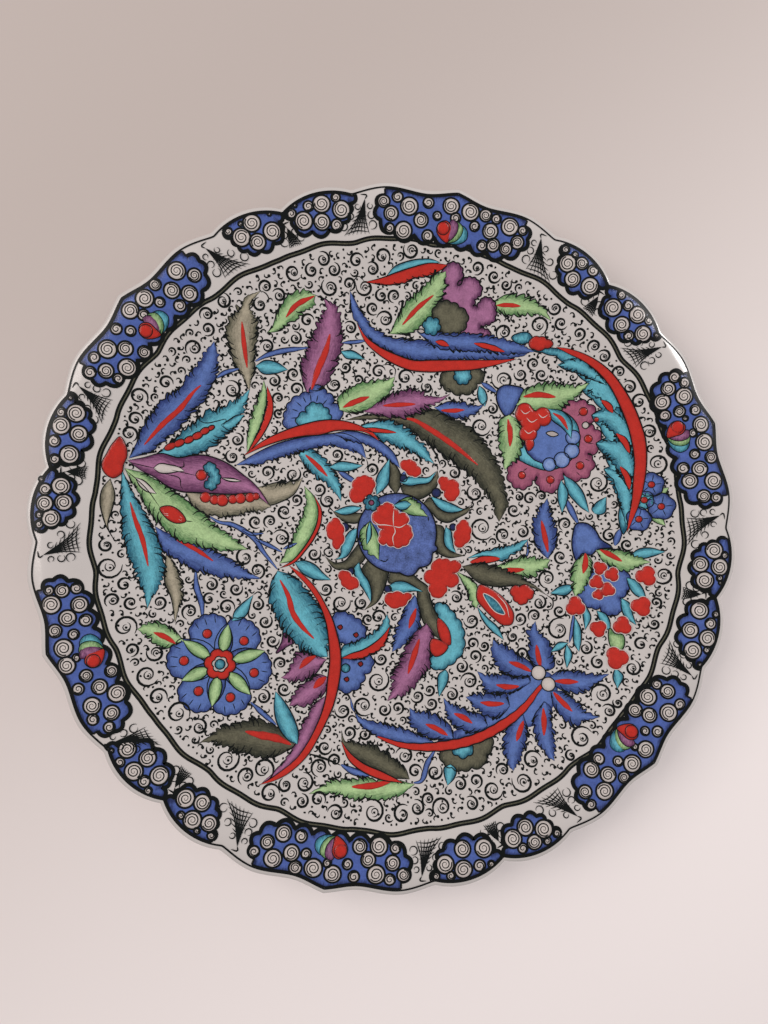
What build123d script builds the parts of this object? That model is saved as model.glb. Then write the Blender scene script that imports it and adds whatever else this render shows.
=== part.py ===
"""A scalloped, hand painted ceramic wall plate: one thrown and carved clay body, the glass glaze fired
over it, and the raised enamels of its painting, each colour laid as its own pieces on the glaze.

The plate stands on its foot ring on the plane Z = 0 with its painted face up. The Z axis is its centre,
and one point of the rim lies on +Y. Angles are in degrees, clockwise from +Y as seen from above.
"""

import os
from math import cos, radians, sin

from build123d import *

# ---------------------------------------------------------------- driving dimensions, in millimetres
PLATE_R = 150.0  # to the six points of the rim
GLAZE = 0.4  # thickness of the fired glaze
WELL_TOP = 11.0  # the painted floor, above the surface that the plate stands on
WELL_R = 70.0  # the floor is flat to here, and then curves up
RING_R, RING_Z = 118.0, 18.8  # where the wall of the well turns into the rim
BLANK_R, BLANK_Z = 160.0, 26.3  # edge of the thrown form, before the rim is cut
LIP_Z = 25.0  # top of the lip
FOOT_IN, FOOT_OUT = 62.0, 66.0  # the tread of the foot ring
FOOT_H = 4.9
DRY_FOOT = 1.0  # the glaze is wiped off the foot up to here
HANG_R, HANG_Z, HANG_ANGLE = 1.25, 2.9, 12.0  # the two holes through the foot ring, for a hanging wire
SECTORS = 6
SECTOR = 360.0 / SECTORS

# The scallops of one half sector: angle from the rim's point, and how far inside PLATE_R the edge lies.
SCALLOP = [(0, 0.0), (4.8, 3.2), (12.35, 1.1), (17.9, 3.9), (23.2, 1.1), (30, 6.2)]
# The rounded lip, as height and distance inside the scalloped edge.
LIP = [(-2.0, 1.4), (20.6, 1.4), (22.3, 0.0), (23.6, 0.25), (24.7, 1.5), (27.0, 5.2)]

PAINTED_LIP = 2.5  # the white margin outside the painted border
BORDER_IN = 125.6  # the border's clouds end at the ring line
CLOUD_RELIEF, DISC_RELIEF, BUD_RELIEF, RING_RELIEF = 0.25, 0.4, 0.4, 0.3
RESERVE_GAP = 0.15  # between a white disc and the blue round it

# The white discs of a cloud: angle from the rim's point, distance from the centre, radius.
LARGE_DISCS = [
    (-8.1, 139.1, 3.3), (-11.1, 134.6, 2.5), (-6.2, 133.7, 2.5), (-3.6, 137.2, 2.2), (-8.8, 129.2, 3.0),
    (-4.6, 129.2, 2.4), (-0.6, 141.2, 2.9), (2.5, 140.3, 3.2), (5.3, 141.3, 2.2), (6.9, 135.6, 2.7),
    (9.6, 140.0, 3.4), (11.7, 135.2, 2.3), (8.8, 130.2, 2.7),
]
PAIRED_DISCS = [
    (21.3, 139.8, 2.4), (26.3, 139.8, 2.5), (21.9, 134.6, 2.4), (24.9, 133.0, 2.2), (27.2, 135.8, 1.8),
]
# The bud at the foot of each large cloud: nested round petals, each partly under the one before it, as the
# distance to the right of the rim's point, the distance from the plate's centre, and the radius.
BUD = {
    "red": (-2.4, 130.8, 3.5),
    "purple": (-0.8, 131.2, 4.6),
    "green": (1.3, 130.6, 4.2),
    "turquoise": (3.4, 129.8, 3.5),
}


def polar(angle, radius):
    """The point at this angle, clockwise from +Y, and distance from the centre."""
    return (radius * sin(radians(angle)), radius * cos(radians(angle)))


def scalloped_face(inset, plane=Plane.XY):
    """The plate's outline as a face: a concave brace each side of the rim's point, then two round lobes."""
    with BuildSketch(plane) as face:
        with BuildLine():
            for k in range(SECTORS):
                for side in (1, -1):
                    p = [polar(k * SECTOR + side * a, PLATE_R - d - inset) for a, d in SCALLOP]
                    Spline(*p[:4])
                    ThreePointArc(*p[3:])
        make_face()
    return face.sketch


def top_line(skin):
    """The painted face's profile, skin below the glaze's surface, from the centre to BLANK_R."""
    floor = Line((0, WELL_TOP - skin), (WELL_R, WELL_TOP - skin))
    wall = TangentArc(floor @ 1, (RING_R, RING_Z - skin), tangent=(1, 0))
    return TangentArc(wall @ 1, (BLANK_R, BLANK_Z - skin), tangent=wall % 1)


def turned_form(skin):
    """The plate before its edge is cut, as it comes off the wheel, skin inside the glaze's surface."""
    with BuildPart() as form:
        with BuildSketch(Plane.XZ):
            with BuildLine():
                rim = top_line(skin)
                edge = Line(rim @ 1, (BLANK_R, 21.5 + skin))
                under = Spline(edge @ 1, (148, 20.0 + skin), (RING_R, 12.5 + skin), (90, 6.9 + skin),
                               (FOOT_OUT + 3 - skin, FOOT_H + skin), tangents=[(-1, -0.1), (-1, -0.05)])
                Polyline(under @ 1, (FOOT_OUT + GLAZE - skin, skin - GLAZE), (FOOT_IN - GLAZE + skin, skin - GLAZE),
                         (FOOT_IN - 2 + skin, FOOT_H - 0.5 + skin), (0, FOOT_H - 0.5 + skin), (0, WELL_TOP - skin))
            make_face()
        revolve(axis=Axis.Z)
    return form.part


def lip_block(skin):
    """A block with the scalloped outline and the rounded lip, which cuts the turned form to shape."""
    with BuildPart() as block:
        for (low, low_in), (high, high_in) in zip(LIP, LIP[1:]):
            loft([scalloped_face(low_in + skin, Plane.XY.offset(low)),
                  scalloped_face(high_in + skin, Plane.XY.offset(high))], ruled=True)
    return block.part


def hanging_holes():
    """The two holes through the foot ring, as round bars along the plate's radii."""
    with BuildPart() as bars:
        for side in (1, -1):
            x, y = polar(side * HANG_ANGLE, 1)
            with BuildSketch(Plane(origin=(50 * x, 50 * y, HANG_Z), z_dir=(x, y, 0))):
                Circle(HANG_R)
            extrude(amount=25)
    return bars.part


def relief_band(height):
    """The thin layer over the whole painted face that an enamel of this height fills."""
    with BuildPart() as band:
        with BuildSketch(Plane.XZ):
            with BuildLine():
                low = top_line(0)
                high = top_line(-height)
                Line(low @ 1, high @ 1)
                Line((0, WELL_TOP), (0, WELL_TOP + height))
            make_face()
        revolve(axis=Axis.Z)
    return band.part


def enamel(sketch, height):
    """The sketch as raised enamel: the part of the relief band that stands over it."""
    with BuildPart() as piece:
        add(relief_bands[height])
        with BuildSketch():
            add(sketch)
        extrude(amount=2 * LIP_Z, both=True, mode=Mode.INTERSECT)
    return piece.part


def write(part, name):
    """Labels a finished piece and writes it as a node of its own."""
    part.label = name
    export_step(part, f"parts/{name}.step")


def cloud_field(centre, width):
    """The border between the ring line and the painted lip, width degrees each side of the centre angle."""
    with BuildSketch() as field:
        add(scalloped_face(PAINTED_LIP))
        Circle(BORDER_IN, mode=Mode.SUBTRACT)
        with BuildSketch(mode=Mode.INTERSECT):
            Polygon((0, 0), polar(centre - width, 2 * PLATE_R), polar(centre + width, 2 * PLATE_R), align=None)
    return field.sketch


def discs(places, grow=0.0):
    """One round face for each place, which is an angle, a distance and a radius."""
    with BuildSketch() as faces:
        for angle, radius, size in places:
            with Locations(polar(angle, radius)):
                Circle(size + grow)
    return faces.sketch


def large_cloud():
    """A blue cloud under a point of the rim: straight against the ring line, with two lobes on each flank."""
    lobes = [(side * a, r, s) for side in (1, -1) for a, r, s in ((11.6, 135.6, 4.3), (9.6, 129.6, 3.8))]
    with BuildSketch() as cloud:
        add(cloud_field(0, 11.0))
        add(discs(lobes))
        add(discs(LARGE_DISCS, RESERVE_GAP), mode=Mode.SUBTRACT)
        for x, y, size in BUD.values():
            with Locations((x, y)):
                Circle(size + RESERVE_GAP, mode=Mode.SUBTRACT)
    return cloud.sketch


def paired_discs():
    """The white discs of the two smaller clouds, mirrored about the middle of the sector."""
    return PAIRED_DISCS + [(SECTOR - a, r, s) for a, r, s in PAIRED_DISCS]


def paired_cloud():
    """The two smaller blue clouds, which meet over the middle of the sector."""
    lobes = ((21.9, 135.6, 4.2), (24.9, 134.2, 4.0), (27.3, 136.2, 3.0))
    with BuildSketch() as cloud:
        add(cloud_field(SECTOR / 2, 10.6))
        Circle(137.0, mode=Mode.SUBTRACT)
        add(discs(lobes))
        add(discs([(SECTOR - a, r, s) for a, r, s in lobes]))
        add(discs(paired_discs(), RESERVE_GAP), mode=Mode.SUBTRACT)
    return cloud.sketch


def bud_petal(colour):
    """One petal of the bud: a round face, less all those that lie over it."""
    names = list(BUD)
    with BuildSketch() as face:
        x, y, size = BUD[colour]
        with Locations((x, y)):
            Circle(size)
        for over in names[:names.index(colour)]:
            x, y, size = BUD[over]
            with Locations((x, y)):
                Circle(size + RESERVE_GAP, mode=Mode.SUBTRACT)
    return face.sketch


os.makedirs("parts", exist_ok=True)
relief_bands = {h: relief_band(h) for h in {CLOUD_RELIEF, DISC_RELIEF, BUD_RELIEF, RING_RELIEF}}

# ---------------------------------------------------------------- clay body and glaze
with BuildPart() as clay_body:
    add(turned_form(GLAZE))
    add(lip_block(GLAZE), mode=Mode.INTERSECT)
    add(hanging_holes(), mode=Mode.SUBTRACT)
write(clay_body.part, "clay_body")

with BuildPart() as glaze_coat:
    add(turned_form(0))
    add(lip_block(0), mode=Mode.INTERSECT)
    add(hanging_holes(), mode=Mode.SUBTRACT)
    add(clay_body.part, mode=Mode.SUBTRACT)
    split(bisect_by=Plane.XY.offset(DRY_FOOT), keep=Keep.TOP)
write(glaze_coat.part, "glaze_coat")

# ---------------------------------------------------------------- painted border
cloud = enamel(large_cloud(), CLOUD_RELIEF)
pair = enamel(paired_cloud(), CLOUD_RELIEF)
white = enamel(discs(LARGE_DISCS + paired_discs()), DISC_RELIEF)
for k in range(SECTORS):
    turn = Rot(0, 0, -k * SECTOR)
    write(turn * cloud, f"large_cloud_{k + 1}")
    write(turn * pair, f"paired_cloud_{k + 1}")
    write(turn * white, f"cloud_discs_{k + 1}")

for colour in BUD:
    one = enamel(bud_petal(colour), BUD_RELIEF)
    with BuildPart() as buds:
        with PolarLocations(0, SECTORS):
            add(one)
    write(buds.part, f"bud_{colour}")

with BuildSketch() as rings:
    Circle(BORDER_IN - 0.2)
    Circle(BORDER_IN - 1.1, mode=Mode.SUBTRACT)
    Circle(BORDER_IN - 1.6)
    Circle(BORDER_IN - 2.1, mode=Mode.SUBTRACT)
write(enamel(rings.sketch, RING_RELIEF), "ring_line")
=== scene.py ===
"""A scalloped, hand painted ceramic plate, seen from above on a pale surface.

The plate is one glazed body with a bare foot ring. Its painting is laid on it as thin draped pieces: every
leaf, petal, cloud and berry is a closed patch of enamel, and every brush line is a narrow ribbon of black.
Lengths below are in millimetres in the plate's own plan: +X right, +Y towards one point of the rim.
"""

import math

import bpy
import numpy as np
from mathutils import Matrix, Vector
from mathutils.geometry import delaunay_2d_cdt


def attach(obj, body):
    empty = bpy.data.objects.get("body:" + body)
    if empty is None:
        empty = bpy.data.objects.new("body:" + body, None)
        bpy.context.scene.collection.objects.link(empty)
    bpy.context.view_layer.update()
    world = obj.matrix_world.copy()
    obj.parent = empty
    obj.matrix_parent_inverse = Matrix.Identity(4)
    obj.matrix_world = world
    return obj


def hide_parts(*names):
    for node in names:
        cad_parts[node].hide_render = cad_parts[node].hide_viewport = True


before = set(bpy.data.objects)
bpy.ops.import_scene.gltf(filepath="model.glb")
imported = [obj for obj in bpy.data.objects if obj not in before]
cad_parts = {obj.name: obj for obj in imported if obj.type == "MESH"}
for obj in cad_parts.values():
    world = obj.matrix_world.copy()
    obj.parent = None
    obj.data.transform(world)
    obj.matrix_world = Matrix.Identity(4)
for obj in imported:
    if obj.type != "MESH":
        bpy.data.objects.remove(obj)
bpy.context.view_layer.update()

MM = 0.001
WELL_R, BEND_R, ROLL_R = 70.0, 118.0, 138.5
WELL_Z = 11.0
rng = np.random.default_rng(7)


# ---------------------------------------------------------------- the plate's shape
def z_top(r):
    """Height of the painted face at distance r: flat well, then a slope that grows to 18 degrees at BEND_R
    and eases to 5 degrees over 30 mm, then rolls over outwards from ROLL_R."""
    r = np.abs(np.asarray(r, float))
    steep, shallow = math.tan(math.radians(18)), math.tan(math.radians(5))
    wall = BEND_R - WELL_R
    s1 = steep / wall
    z = WELL_Z + 0.5 * s1 * np.clip(r - WELL_R, 0, wall) ** 2
    d = np.clip(r - BEND_R, 0, None)
    z = z + steep * d + 0.5 * (shallow - steep) / 30.0 * d * d
    return z - 0.022 * np.clip(r - ROLL_R, 0, 9.5) ** 2


def hermite(points, closed=False, step=0.6):
    """A smooth curve through the points, with tangents from the neighbouring chords."""
    p = np.asarray(points, float)
    if closed:
        p = np.vstack([p[-1], p, p[0], p[1]])
    d = np.maximum(np.linalg.norm(np.diff(p, axis=0), axis=1), 1e-6)
    slope = np.diff(p, axis=0) / d[:, None]
    m = np.empty_like(p)
    m[0], m[-1] = slope[0], slope[-1]
    m[1:-1] = (slope[:-1] * d[1:, None] + slope[1:] * d[:-1, None]) / (d[1:] + d[:-1])[:, None]
    out = []
    first, last = (1, len(p) - 2) if closed else (0, len(p) - 1)
    for i in range(first, last):
        n = max(2, int(math.ceil(d[i] / step)))
        t = (np.arange(n) / n)[:, None]
        h = d[i]
        out.append((2 * t**3 - 3 * t**2 + 1) * p[i] + (t**3 - 2 * t**2 + t) * h * m[i]
                   + (-2 * t**3 + 3 * t**2) * p[i + 1] + (t**3 - t**2) * h * m[i + 1])
    if not closed:
        out.append(p[-1:])
    return np.vstack(out)


def resample(curve, n):
    """n + 1 points at equal distances along a curve."""
    s = np.concatenate([[0], np.cumsum(np.linalg.norm(np.diff(curve, axis=0), axis=1))])
    t = np.linspace(0, s[-1], n + 1)
    return np.stack([np.interp(t, s, curve[:, k]) for k in (0, 1)], 1)


def length(curve):
    """Length of a curve in mm."""
    return float(np.linalg.norm(np.diff(curve, axis=0), axis=1).sum())


def polar(angle, r):
    """The plan point at an angle clockwise from +Y and a distance from the centre."""
    a = np.radians(angle)
    return np.stack([r * np.sin(a), r * np.cos(a)], -1)


# ---------------------------------------------------------------- collecting the painting
class Coat:
    """All the patches of one colour in one part of the painting, gathered into one object.

    brush holds (nearness to the middle, place along, tone) and stroke holds (across, along) in mm. Each patch
    lies a few micrometres higher or lower than the last, so that none shares its plane with a neighbour."""

    calls = 0

    def __init__(self):
        self.v, self.f, self.brush, self.stroke, self.n = [], [], [], [], 0

    def add(self, xy, lift, faces, brush, stroke):
        Coat.calls += 1
        z = z_top(np.hypot(xy[:, 0], xy[:, 1])) + lift + 0.003 * (Coat.calls % 9)
        self.v.append(np.column_stack([xy, z]))
        self.f += [tuple(int(i) + self.n for i in f) for f in faces]
        self.brush.append(brush)
        self.stroke.append(stroke)
        self.n += len(xy)


coats = {}
covered = []


def coat(group, colour):
    """The coat of one colour in one part of the painting, made when first asked for."""
    return coats.setdefault((group, colour), Coat())


def grid_faces(rows, cols):
    """Four-sided faces between neighbouring points of a grid."""
    i, j = np.meshgrid(np.arange(rows - 1), np.arange(cols - 1), indexing="ij")
    a = (i * cols + j).ravel()
    return np.stack([a, a + 1, a + cols + 1, a + cols], 1)


def up(xy, faces):
    """The faces turned so that their normals point up."""
    p = xy[faces[:, :3]]
    e, f = p[:, 1] - p[:, 0], p[:, 2] - p[:, 0]
    back = (e[:, 0] * f[:, 1] - e[:, 1] * f[:, 0]) < 0
    faces = faces.copy()
    faces[back] = faces[back][:, ::-1]
    return faces


LIFT, STEP = 0.05, 0.075
INK = 0.035


def ink(points, width, level=0, taper="both", smooth=True, group="ink", closed=False, colour="ink"):
    """A brush line: a ribbon along the curve, swelling to width and thinning at the ends named by taper."""
    curve = hermite(points, closed) if smooth else np.asarray(points, float)
    n = max(3, int(length(curve) / 0.7))
    c = resample(np.vstack([curve, curve[:1]]) if closed else curve, n)
    t = np.linspace(0, 1, n + 1)
    w = np.full(n + 1, 1.0)
    if taper in ("both", "start"):
        w *= np.minimum(1, 0.15 + (t / 0.3) ** 0.7 * 0.85)
    if taper in ("both", "end"):
        w *= np.minimum(1, 0.15 + ((1 - t) / 0.4) ** 0.7 * 0.85)
    if taper == "drop":
        w *= 0.25 + 0.75 * (1 - t) ** 1.6
    tan = np.gradient(c, axis=0)
    tan /= np.maximum(np.linalg.norm(tan, axis=1), 1e-9)[:, None]
    side = np.stack([-tan[:, 1], tan[:, 0]], 1) * (w * width / 2)[:, None]
    xy = np.stack([c + side, c - side], 1).reshape(-1, 2)
    s = np.repeat(t * length(c), 2)
    brush = np.column_stack([np.ones(len(xy)), np.repeat(t, 2), np.full(len(xy), rng.random())])
    stroke = np.column_stack([np.tile([1.0, -1.0], n + 1), s, np.zeros(len(xy))])
    f = up(xy, grid_faces(n + 1, 2))
    coat(group, colour).add(xy, LIFT + STEP * level + INK, f, brush, stroke)


def leaf(group, colour, tail, left, tip, right, teeth="lr", pitch=3.2, depth=1.0, rib=None, level=0,
         line=0.5, fill=True, barbs=True):
    """A leaf between two edges that run from tail to tip. Its saw teeth point at the tip, each with a short
    black stroke into the leaf. rib is (points, width) of a red midrib."""
    lc, rc = hermite([tail] + left + [tip]), hermite([tail] + right + [tip])
    n = int(max(length(lc), length(rc)) / 0.75) + 4
    lp, rp = resample(lc, n), resample(rc, n)
    t = np.linspace(0, 1, n + 1)
    width = np.linalg.norm(rp - lp, axis=1)
    across = (rp - lp) / np.maximum(width, 1e-6)[:, None]
    mid = (lp + rp) / 2
    along = np.gradient(mid, axis=0)
    along /= np.maximum(np.linalg.norm(along, axis=1), 1e-9)[:, None]
    env = np.clip(np.minimum(t / 0.12, (1 - t) / 0.10), 0, 1) * np.clip(width / 5.0, 0.2, 1)
    edges, saws = {}, {}
    for name, p, sign in (("l", lp, -1), ("r", rp, 1)):
        s = np.concatenate([[0], np.cumsum(np.linalg.norm(np.diff(p, axis=0), axis=1))])
        wob = 1 + 0.25 * np.sin(s * 0.7 + sign)
        f = np.mod(s / pitch * wob + 0.37 * sign, 1.0)
        saw = np.where(f < 0.8, f / 0.8, (1 - f) / 0.2)
        k = 1.7 * depth * env * (saw - 0.35) if name in teeth else 0 * s
        edges[name] = p + across * (sign * k)[:, None] + along * (0.9 * k)[:, None]
        saws[name] = (f, s)
    cols = 9
    c = np.linspace(-1, 1, cols)
    base = mid[:, None, :] + (rp - lp)[:, None, :] * (c / 2)[None, :, None]
    pull = np.clip((np.abs(c) - 0.25) / 0.75, 0, 1) ** 1.5
    shift = np.where((c < 0)[None, :, None], (edges["l"] - lp)[:, None, :], (edges["r"] - rp)[:, None, :])
    xy = (base + shift * pull[None, :, None]).reshape(-1, 2)
    if fill:
        lat = (c[None, :] * width[:, None] / 2).ravel()
        s = np.repeat(t * length(mid), cols)
        brush = np.column_stack([np.tile(1 - np.abs(c), n + 1), np.repeat(t, cols), np.full(len(lat), rng.random())])
        stroke = np.column_stack([lat, s, np.full(len(lat), 7.0 * rng.random())])
        coat(group, colour).add(xy, LIFT + STEP * level, up(xy, grid_faces(n + 1, cols)), brush, stroke)
    covered.append(np.vstack([edges["l"], edges["r"][::-1]]))
    for name, sign in (("l", -1), ("r", 1)):
        e = edges[name]
        ink(e, line, level, smooth=False)
        if name in teeth and barbs:
            f, s = saws[name]
            for i in np.nonzero(np.diff(f) < -0.5)[0]:
                if env[i] < 0.35 or width[i] < 2.0:
                    continue
                back = max(0, i - max(1, int(pitch * 0.85 / 0.75)))
                inner = mid[back] * 0.45 + e[back] * 0.55
                ink([e[i] + along[i] * 0.3, (e[i] + e[back]) / 2 * 0.6 + inner * 0.4, inner],
                    0.95 + 0.3 * rng.random(), level, taper="drop")
    if rib:
        band(group, "red", rib[0], rib[1], level + 1, line=0)


def band(group, colour, points, width, level=1, line=0.35, taper=0.35):
    """A tapered band along a curve, such as a red midrib or a stem."""
    c = hermite(points)
    n = max(4, int(length(c) / 0.8))
    c = resample(c, n)
    t = np.linspace(0, 1, n + 1)
    w = np.clip(np.minimum(t, 1 - t) / taper, 0, 1) ** 0.7 * 0.85 + 0.15 if taper else np.ones(n + 1)
    tan = np.gradient(c, axis=0)
    tan /= np.maximum(np.linalg.norm(tan, axis=1), 1e-9)[:, None]
    side = np.stack([-tan[:, 1], tan[:, 0]], 1)
    w = w * width / 2 * (1 + 0.06 * np.sin(t * length(c) * 1.1 + rng.random() * 6))
    cc = np.linspace(-1, 1, 5)
    xy = (c[:, None, :] + side[:, None, :] * (cc[None, :, None] * w[:, None, None])).reshape(-1, 2)
    brush = np.column_stack([np.tile(1 - np.abs(cc), n + 1), np.repeat(t, 5), np.full(len(xy), rng.random())])
    stroke = np.column_stack([(cc[None, :] * w[:, None]).ravel(), np.repeat(t * length(c), 5), np.zeros(len(xy))])
    coat(group, colour).add(xy, LIFT + STEP * level, up(xy, grid_faces(n + 1, 5)), brush, stroke)
    covered.append(np.vstack([c + side * w[:, None], (c - side * w[:, None])[::-1]]))
    if line:
        ink(c + side * w[:, None], line, level, smooth=False)
        ink(c - side * w[:, None], line, level, smooth=False)


def patch(group, colour, outline, level=0, line=0.45, dome=0.0, cover=True, spacing=2.0, line_colour="ink"):
    """A filled closed outline, with a grid of points inside it so that it follows the plate. brush's first
    value rises from 0 at the outline to 1 at 2.5 mm inside it, and dome is how far the middle stands up."""
    o = np.asarray(outline, float)
    lo, hi = o.min(0), o.max(0)
    gx, gy = np.meshgrid(np.arange(lo[0], hi[0], spacing), np.arange(lo[1], hi[1], spacing))
    g = np.column_stack([gx.ravel(), gy.ravel()]) + 0.13
    inside = inside_of(g, o)
    g = g[inside]
    if len(g):
        g = g[distance_to(g, o) > 0.35 * spacing]
    if dome or spacing < 1.5:
        e = np.roll(o, -1, 0) - np.roll(o, 1, 0)
        e /= np.maximum(np.linalg.norm(e, axis=1), 1e-9)[:, None]
        nrm = np.stack([-e[:, 1], e[:, 0]], 1) * winding(o)
        inner = o + nrm * 0.35
        keep = inside_of(inner, o)
        inner = inner[keep]
        if len(inner):
            inner = inner[distance_to(inner, o) > 0.25]
        g = np.vstack([g, inner]) if len(inner) else g
    pts = np.vstack([o, g]) if len(g) else o
    m = len(o)
    res = delaunay_2d_cdt([Vector(p) for p in pts], [(i, (i + 1) % m) for i in range(m)], [list(range(m))], 1, 1e-5)
    xy = np.array([tuple(v) for v in res[0]])
    faces = np.array([f for f in res[2] if len(f) == 3], int)
    if not len(faces):
        return
    d = distance_to(xy, o)
    rise = 1 - np.exp(-d / 0.5)
    lift = LIFT + STEP * level + dome * rise
    tone = rng.random()
    brush = np.column_stack([np.clip(d / 2.5, 0, 1), np.full(len(xy), 0.5), np.full(len(xy), tone)])
    stroke = np.column_stack([xy - xy.mean(0), np.full(len(xy), tone * 7)])
    coat(group, colour).add(xy, lift, up(xy, faces), brush, stroke)
    if cover:
        covered.append(o)
    if line:
        ink(o, line, level, taper="", smooth=False, closed=True, colour=line_colour)


def winding(o):
    """1 for an outline that runs anticlockwise, -1 for one that runs clockwise."""
    return 1 if np.sum(o[:, 0] * np.roll(o[:, 1], -1) - np.roll(o[:, 0], -1) * o[:, 1]) > 0 else -1


def inside_of(p, poly):
    """Which points lie inside a closed outline, by counting the edges they pass."""
    x, y = p[:, 0][:, None], p[:, 1][:, None]
    a, b = poly, np.roll(poly, -1, 0)
    cross = (a[:, 1] > y) != (b[:, 1] > y)
    with np.errstate(divide="ignore", invalid="ignore"):
        at = a[:, 0] + (y - a[:, 1]) * (b[:, 0] - a[:, 0]) / (b[:, 1] - a[:, 1])
    return (cross & (x < at)).sum(1) % 2 == 1


def distance_to(p, poly):
    """Distance of each point to the nearest edge of a closed outline."""
    a, b = poly, np.roll(poly, -1, 0)
    e = b - a
    t = np.clip(((p[:, None, :] - a) * e).sum(-1) / np.maximum((e * e).sum(-1), 1e-12), 0, 1)
    return np.linalg.norm(p[:, None, :] - (a + t[..., None] * e), axis=-1).min(1)


def blob(group, colour, points, **kw):
    """A patch whose outline runs smoothly through the points."""
    patch(group, colour, hermite(points, closed=True, step=0.7), **kw)


def lobed(points, bulge=0.35, n=6):
    """A closed outline of round lobes: each pair of neighbouring points is joined by an arc that stands out
    by 1.7 bulge times their distance."""
    p = np.asarray(points, float)
    outward = winding(p)
    out = []
    for a, b in zip(p, np.roll(p, -1, 0)):
        e = b - a
        nrm = np.array([e[1], -e[0]]) * outward
        t = (np.arange(n) / n)[:, None]
        out.append(a + e * t + nrm * 1.7 * bulge * np.sin(np.pi * t) ** 0.8)
    return np.vstack(out)


def lobes(group, colour, points, bulge=0.35, **kw):
    """A patch with a lobed outline."""
    patch(group, colour, lobed(points, bulge), **kw)


def circle(x, y, r, n=20):
    """n points round a circle."""
    a = np.linspace(0, 2 * np.pi, n, endpoint=False)
    return np.column_stack([x + r * np.cos(a), y + r * np.sin(a)])


def flower(group, colour, x, y, r, petals=5, depth=0.25, turn=0.0, **kw):
    """A round flower whose rim is the sine-cusped curve of that many petals."""
    a = np.linspace(0, 2 * np.pi, petals * 8, endpoint=False)
    rr = r * (1 - depth + depth * np.abs(np.cos((a + turn) * petals / 2)) ** 0.6)
    patch(group, colour, np.column_stack([x + rr * np.cos(a), y + rr * np.sin(a)]), **kw)


def dot(group, colour, x, y, r, **kw):
    """A round patch, such as a berry."""
    patch(group, colour, circle(x, y, r, 16), spacing=1.0, **kw)


# ---------------------------------------------------------------- the spray on the left
G = "left_fan"
leaf(G, "beige", (-118.5, 0.5), [(-120.6, -4), (-120.4, -10), (-118.7, -14.5), (-116.3, -19)], (-111.5, -25),
     [(-115.5, -6), (-115.6, -13), (-115.8, -18.5)], teeth="")
leaf(G, "beige", (-91.5, -25), [(-90.6, -32), (-89.8, -37), (-85.8, -43.5)], (-82, -53.5),
     [(-86.9, -30), (-83.5, -35.8), (-81.7, -43)], teeth="r")
leaf(G, "turquoise", (-115, 5), [(-113.5, -4), (-111.7, -12.7), (-109.4, -21.4), (-105.4, -30), (-101.3, -36),
     (-97.3, -42)], (-94, -49.5), [(-111, -0.6), (-106, -7.5), (-100.2, -14.4), (-95, -21.4), (-92.1, -27.7),
     (-91, -35.8), (-92.6, -42)], teeth="lr", rib=([(-109.4, -7.5), (-106, -14.4), (-101.9, -21.4),
     (-97.3, -32.3)], 2.0))
leaf(G, "blue", (-98, -15.5), [(-89.2, -18.5), (-76, -20.2), (-67.3, -22.3), (-57, -27)], (-50.6, -29),
     [(-92.7, -24.8), (-85.8, -27.7), (-78.8, -30), (-70.2, -31.2), (-61.5, -30.9)], level=1,
     rib=([(-88.5, -19.4), (-80, -21.9), (-71.9, -25.4)], 1.8))
leaf(G, "green", (-114, 5.8), [(-106, 5.2), (-99, 2.3), (-92.7, 0), (-87.5, -2.9), (-81.1, -5.8), (-74.8, -9.8),
     (-67.3, -13.6)], (-58.6, -17.9), [(-110.6, 1.1), (-106, -4), (-100.8, -10.4), (-94.4, -15.6), (-87.5, -19),
     (-78.8, -20.2), (-70.2, -20.2)], level=2, teeth="lr", depth=0.8)
leaf(G, "white", (-109.5, 3), [(-106, 2.4), (-103, 0.5)], (-100, -2), [(-106.5, -0.6), (-103.4, -2)], level=3,
     teeth="")
blob(G, "red", [(-97.6, -7.6), (-94, -5.9), (-90.3, -6.8), (-86.3, -11.2), (-90, -12.6), (-94.6, -11)], level=3,
     dome=0.15)
ink([(-114, 5.5), (-104, -1), (-97.6, -7.4)], 0.4, 3)
ink([(-87, -11), (-83.5, -10.6)], 0.4, 3)
for k in range(4):
    ink([(-96.4 + 0.3 * k, -8.3 - 0.6 * k), (-92, -8.0 - 0.7 * k), (-87.8, -10.2 - 0.35 * k)], 0.22, 4, colour="white")
leaf(G, "beige", (-59.5, 9), [(-55.5, 11), (-50, 12.7), (-44.5, 13.8)], (-41.6, 17),
     [(-53.5, 2.4), (-48.8, 4.8), (-44, 9)], level=1, teeth="l")
leaf(G, "beige", (-89, 1.5), [(-78, 3), (-68, 4.2), (-58, 6.8)], (-52.5, 1.8), [(-84.6, -4), (-78, -6.2), (-70, -5.4),
     (-62, -2.6)], level=3, teeth="r")
for x, y, r in ((-80.3, 0.5, 2.2), (-76.4, 0.2, 2.0), (-73.2, 0.6, 2.5), (-69.0, 1.9, 1.9), (-65.9, 2.9, 2.2),
                (-62.0, 4.1, 2.0), (-59.6, 5.0, 1.5)):
    dot(G, "red", x, y, r, level=4, dome=0.3)
leaf(G, "blue", (-113.2, 10.2), [(-111.7, 17.9), (-110, 24.8), (-107.7, 31.2), (-103.6, 38.7), (-99.8, 42.5),
     (-96.7, 48.3), (-93.8, 55.2), (-91.4, 60.4)], (-88.9, 65.5), [(-106, 14.4), (-100.2, 21.9), (-96.1, 27.7),
     (-92.7, 34), (-88.6, 41), (-86.4, 48.3), (-85.6, 54), (-86, 59)], level=1, pitch=4.2,
     rib=([(-108.5, 17), (-103, 27), (-97.3, 35.2), (-92.7, 44.2), (-91, 46.5)], 2.2))
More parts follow.
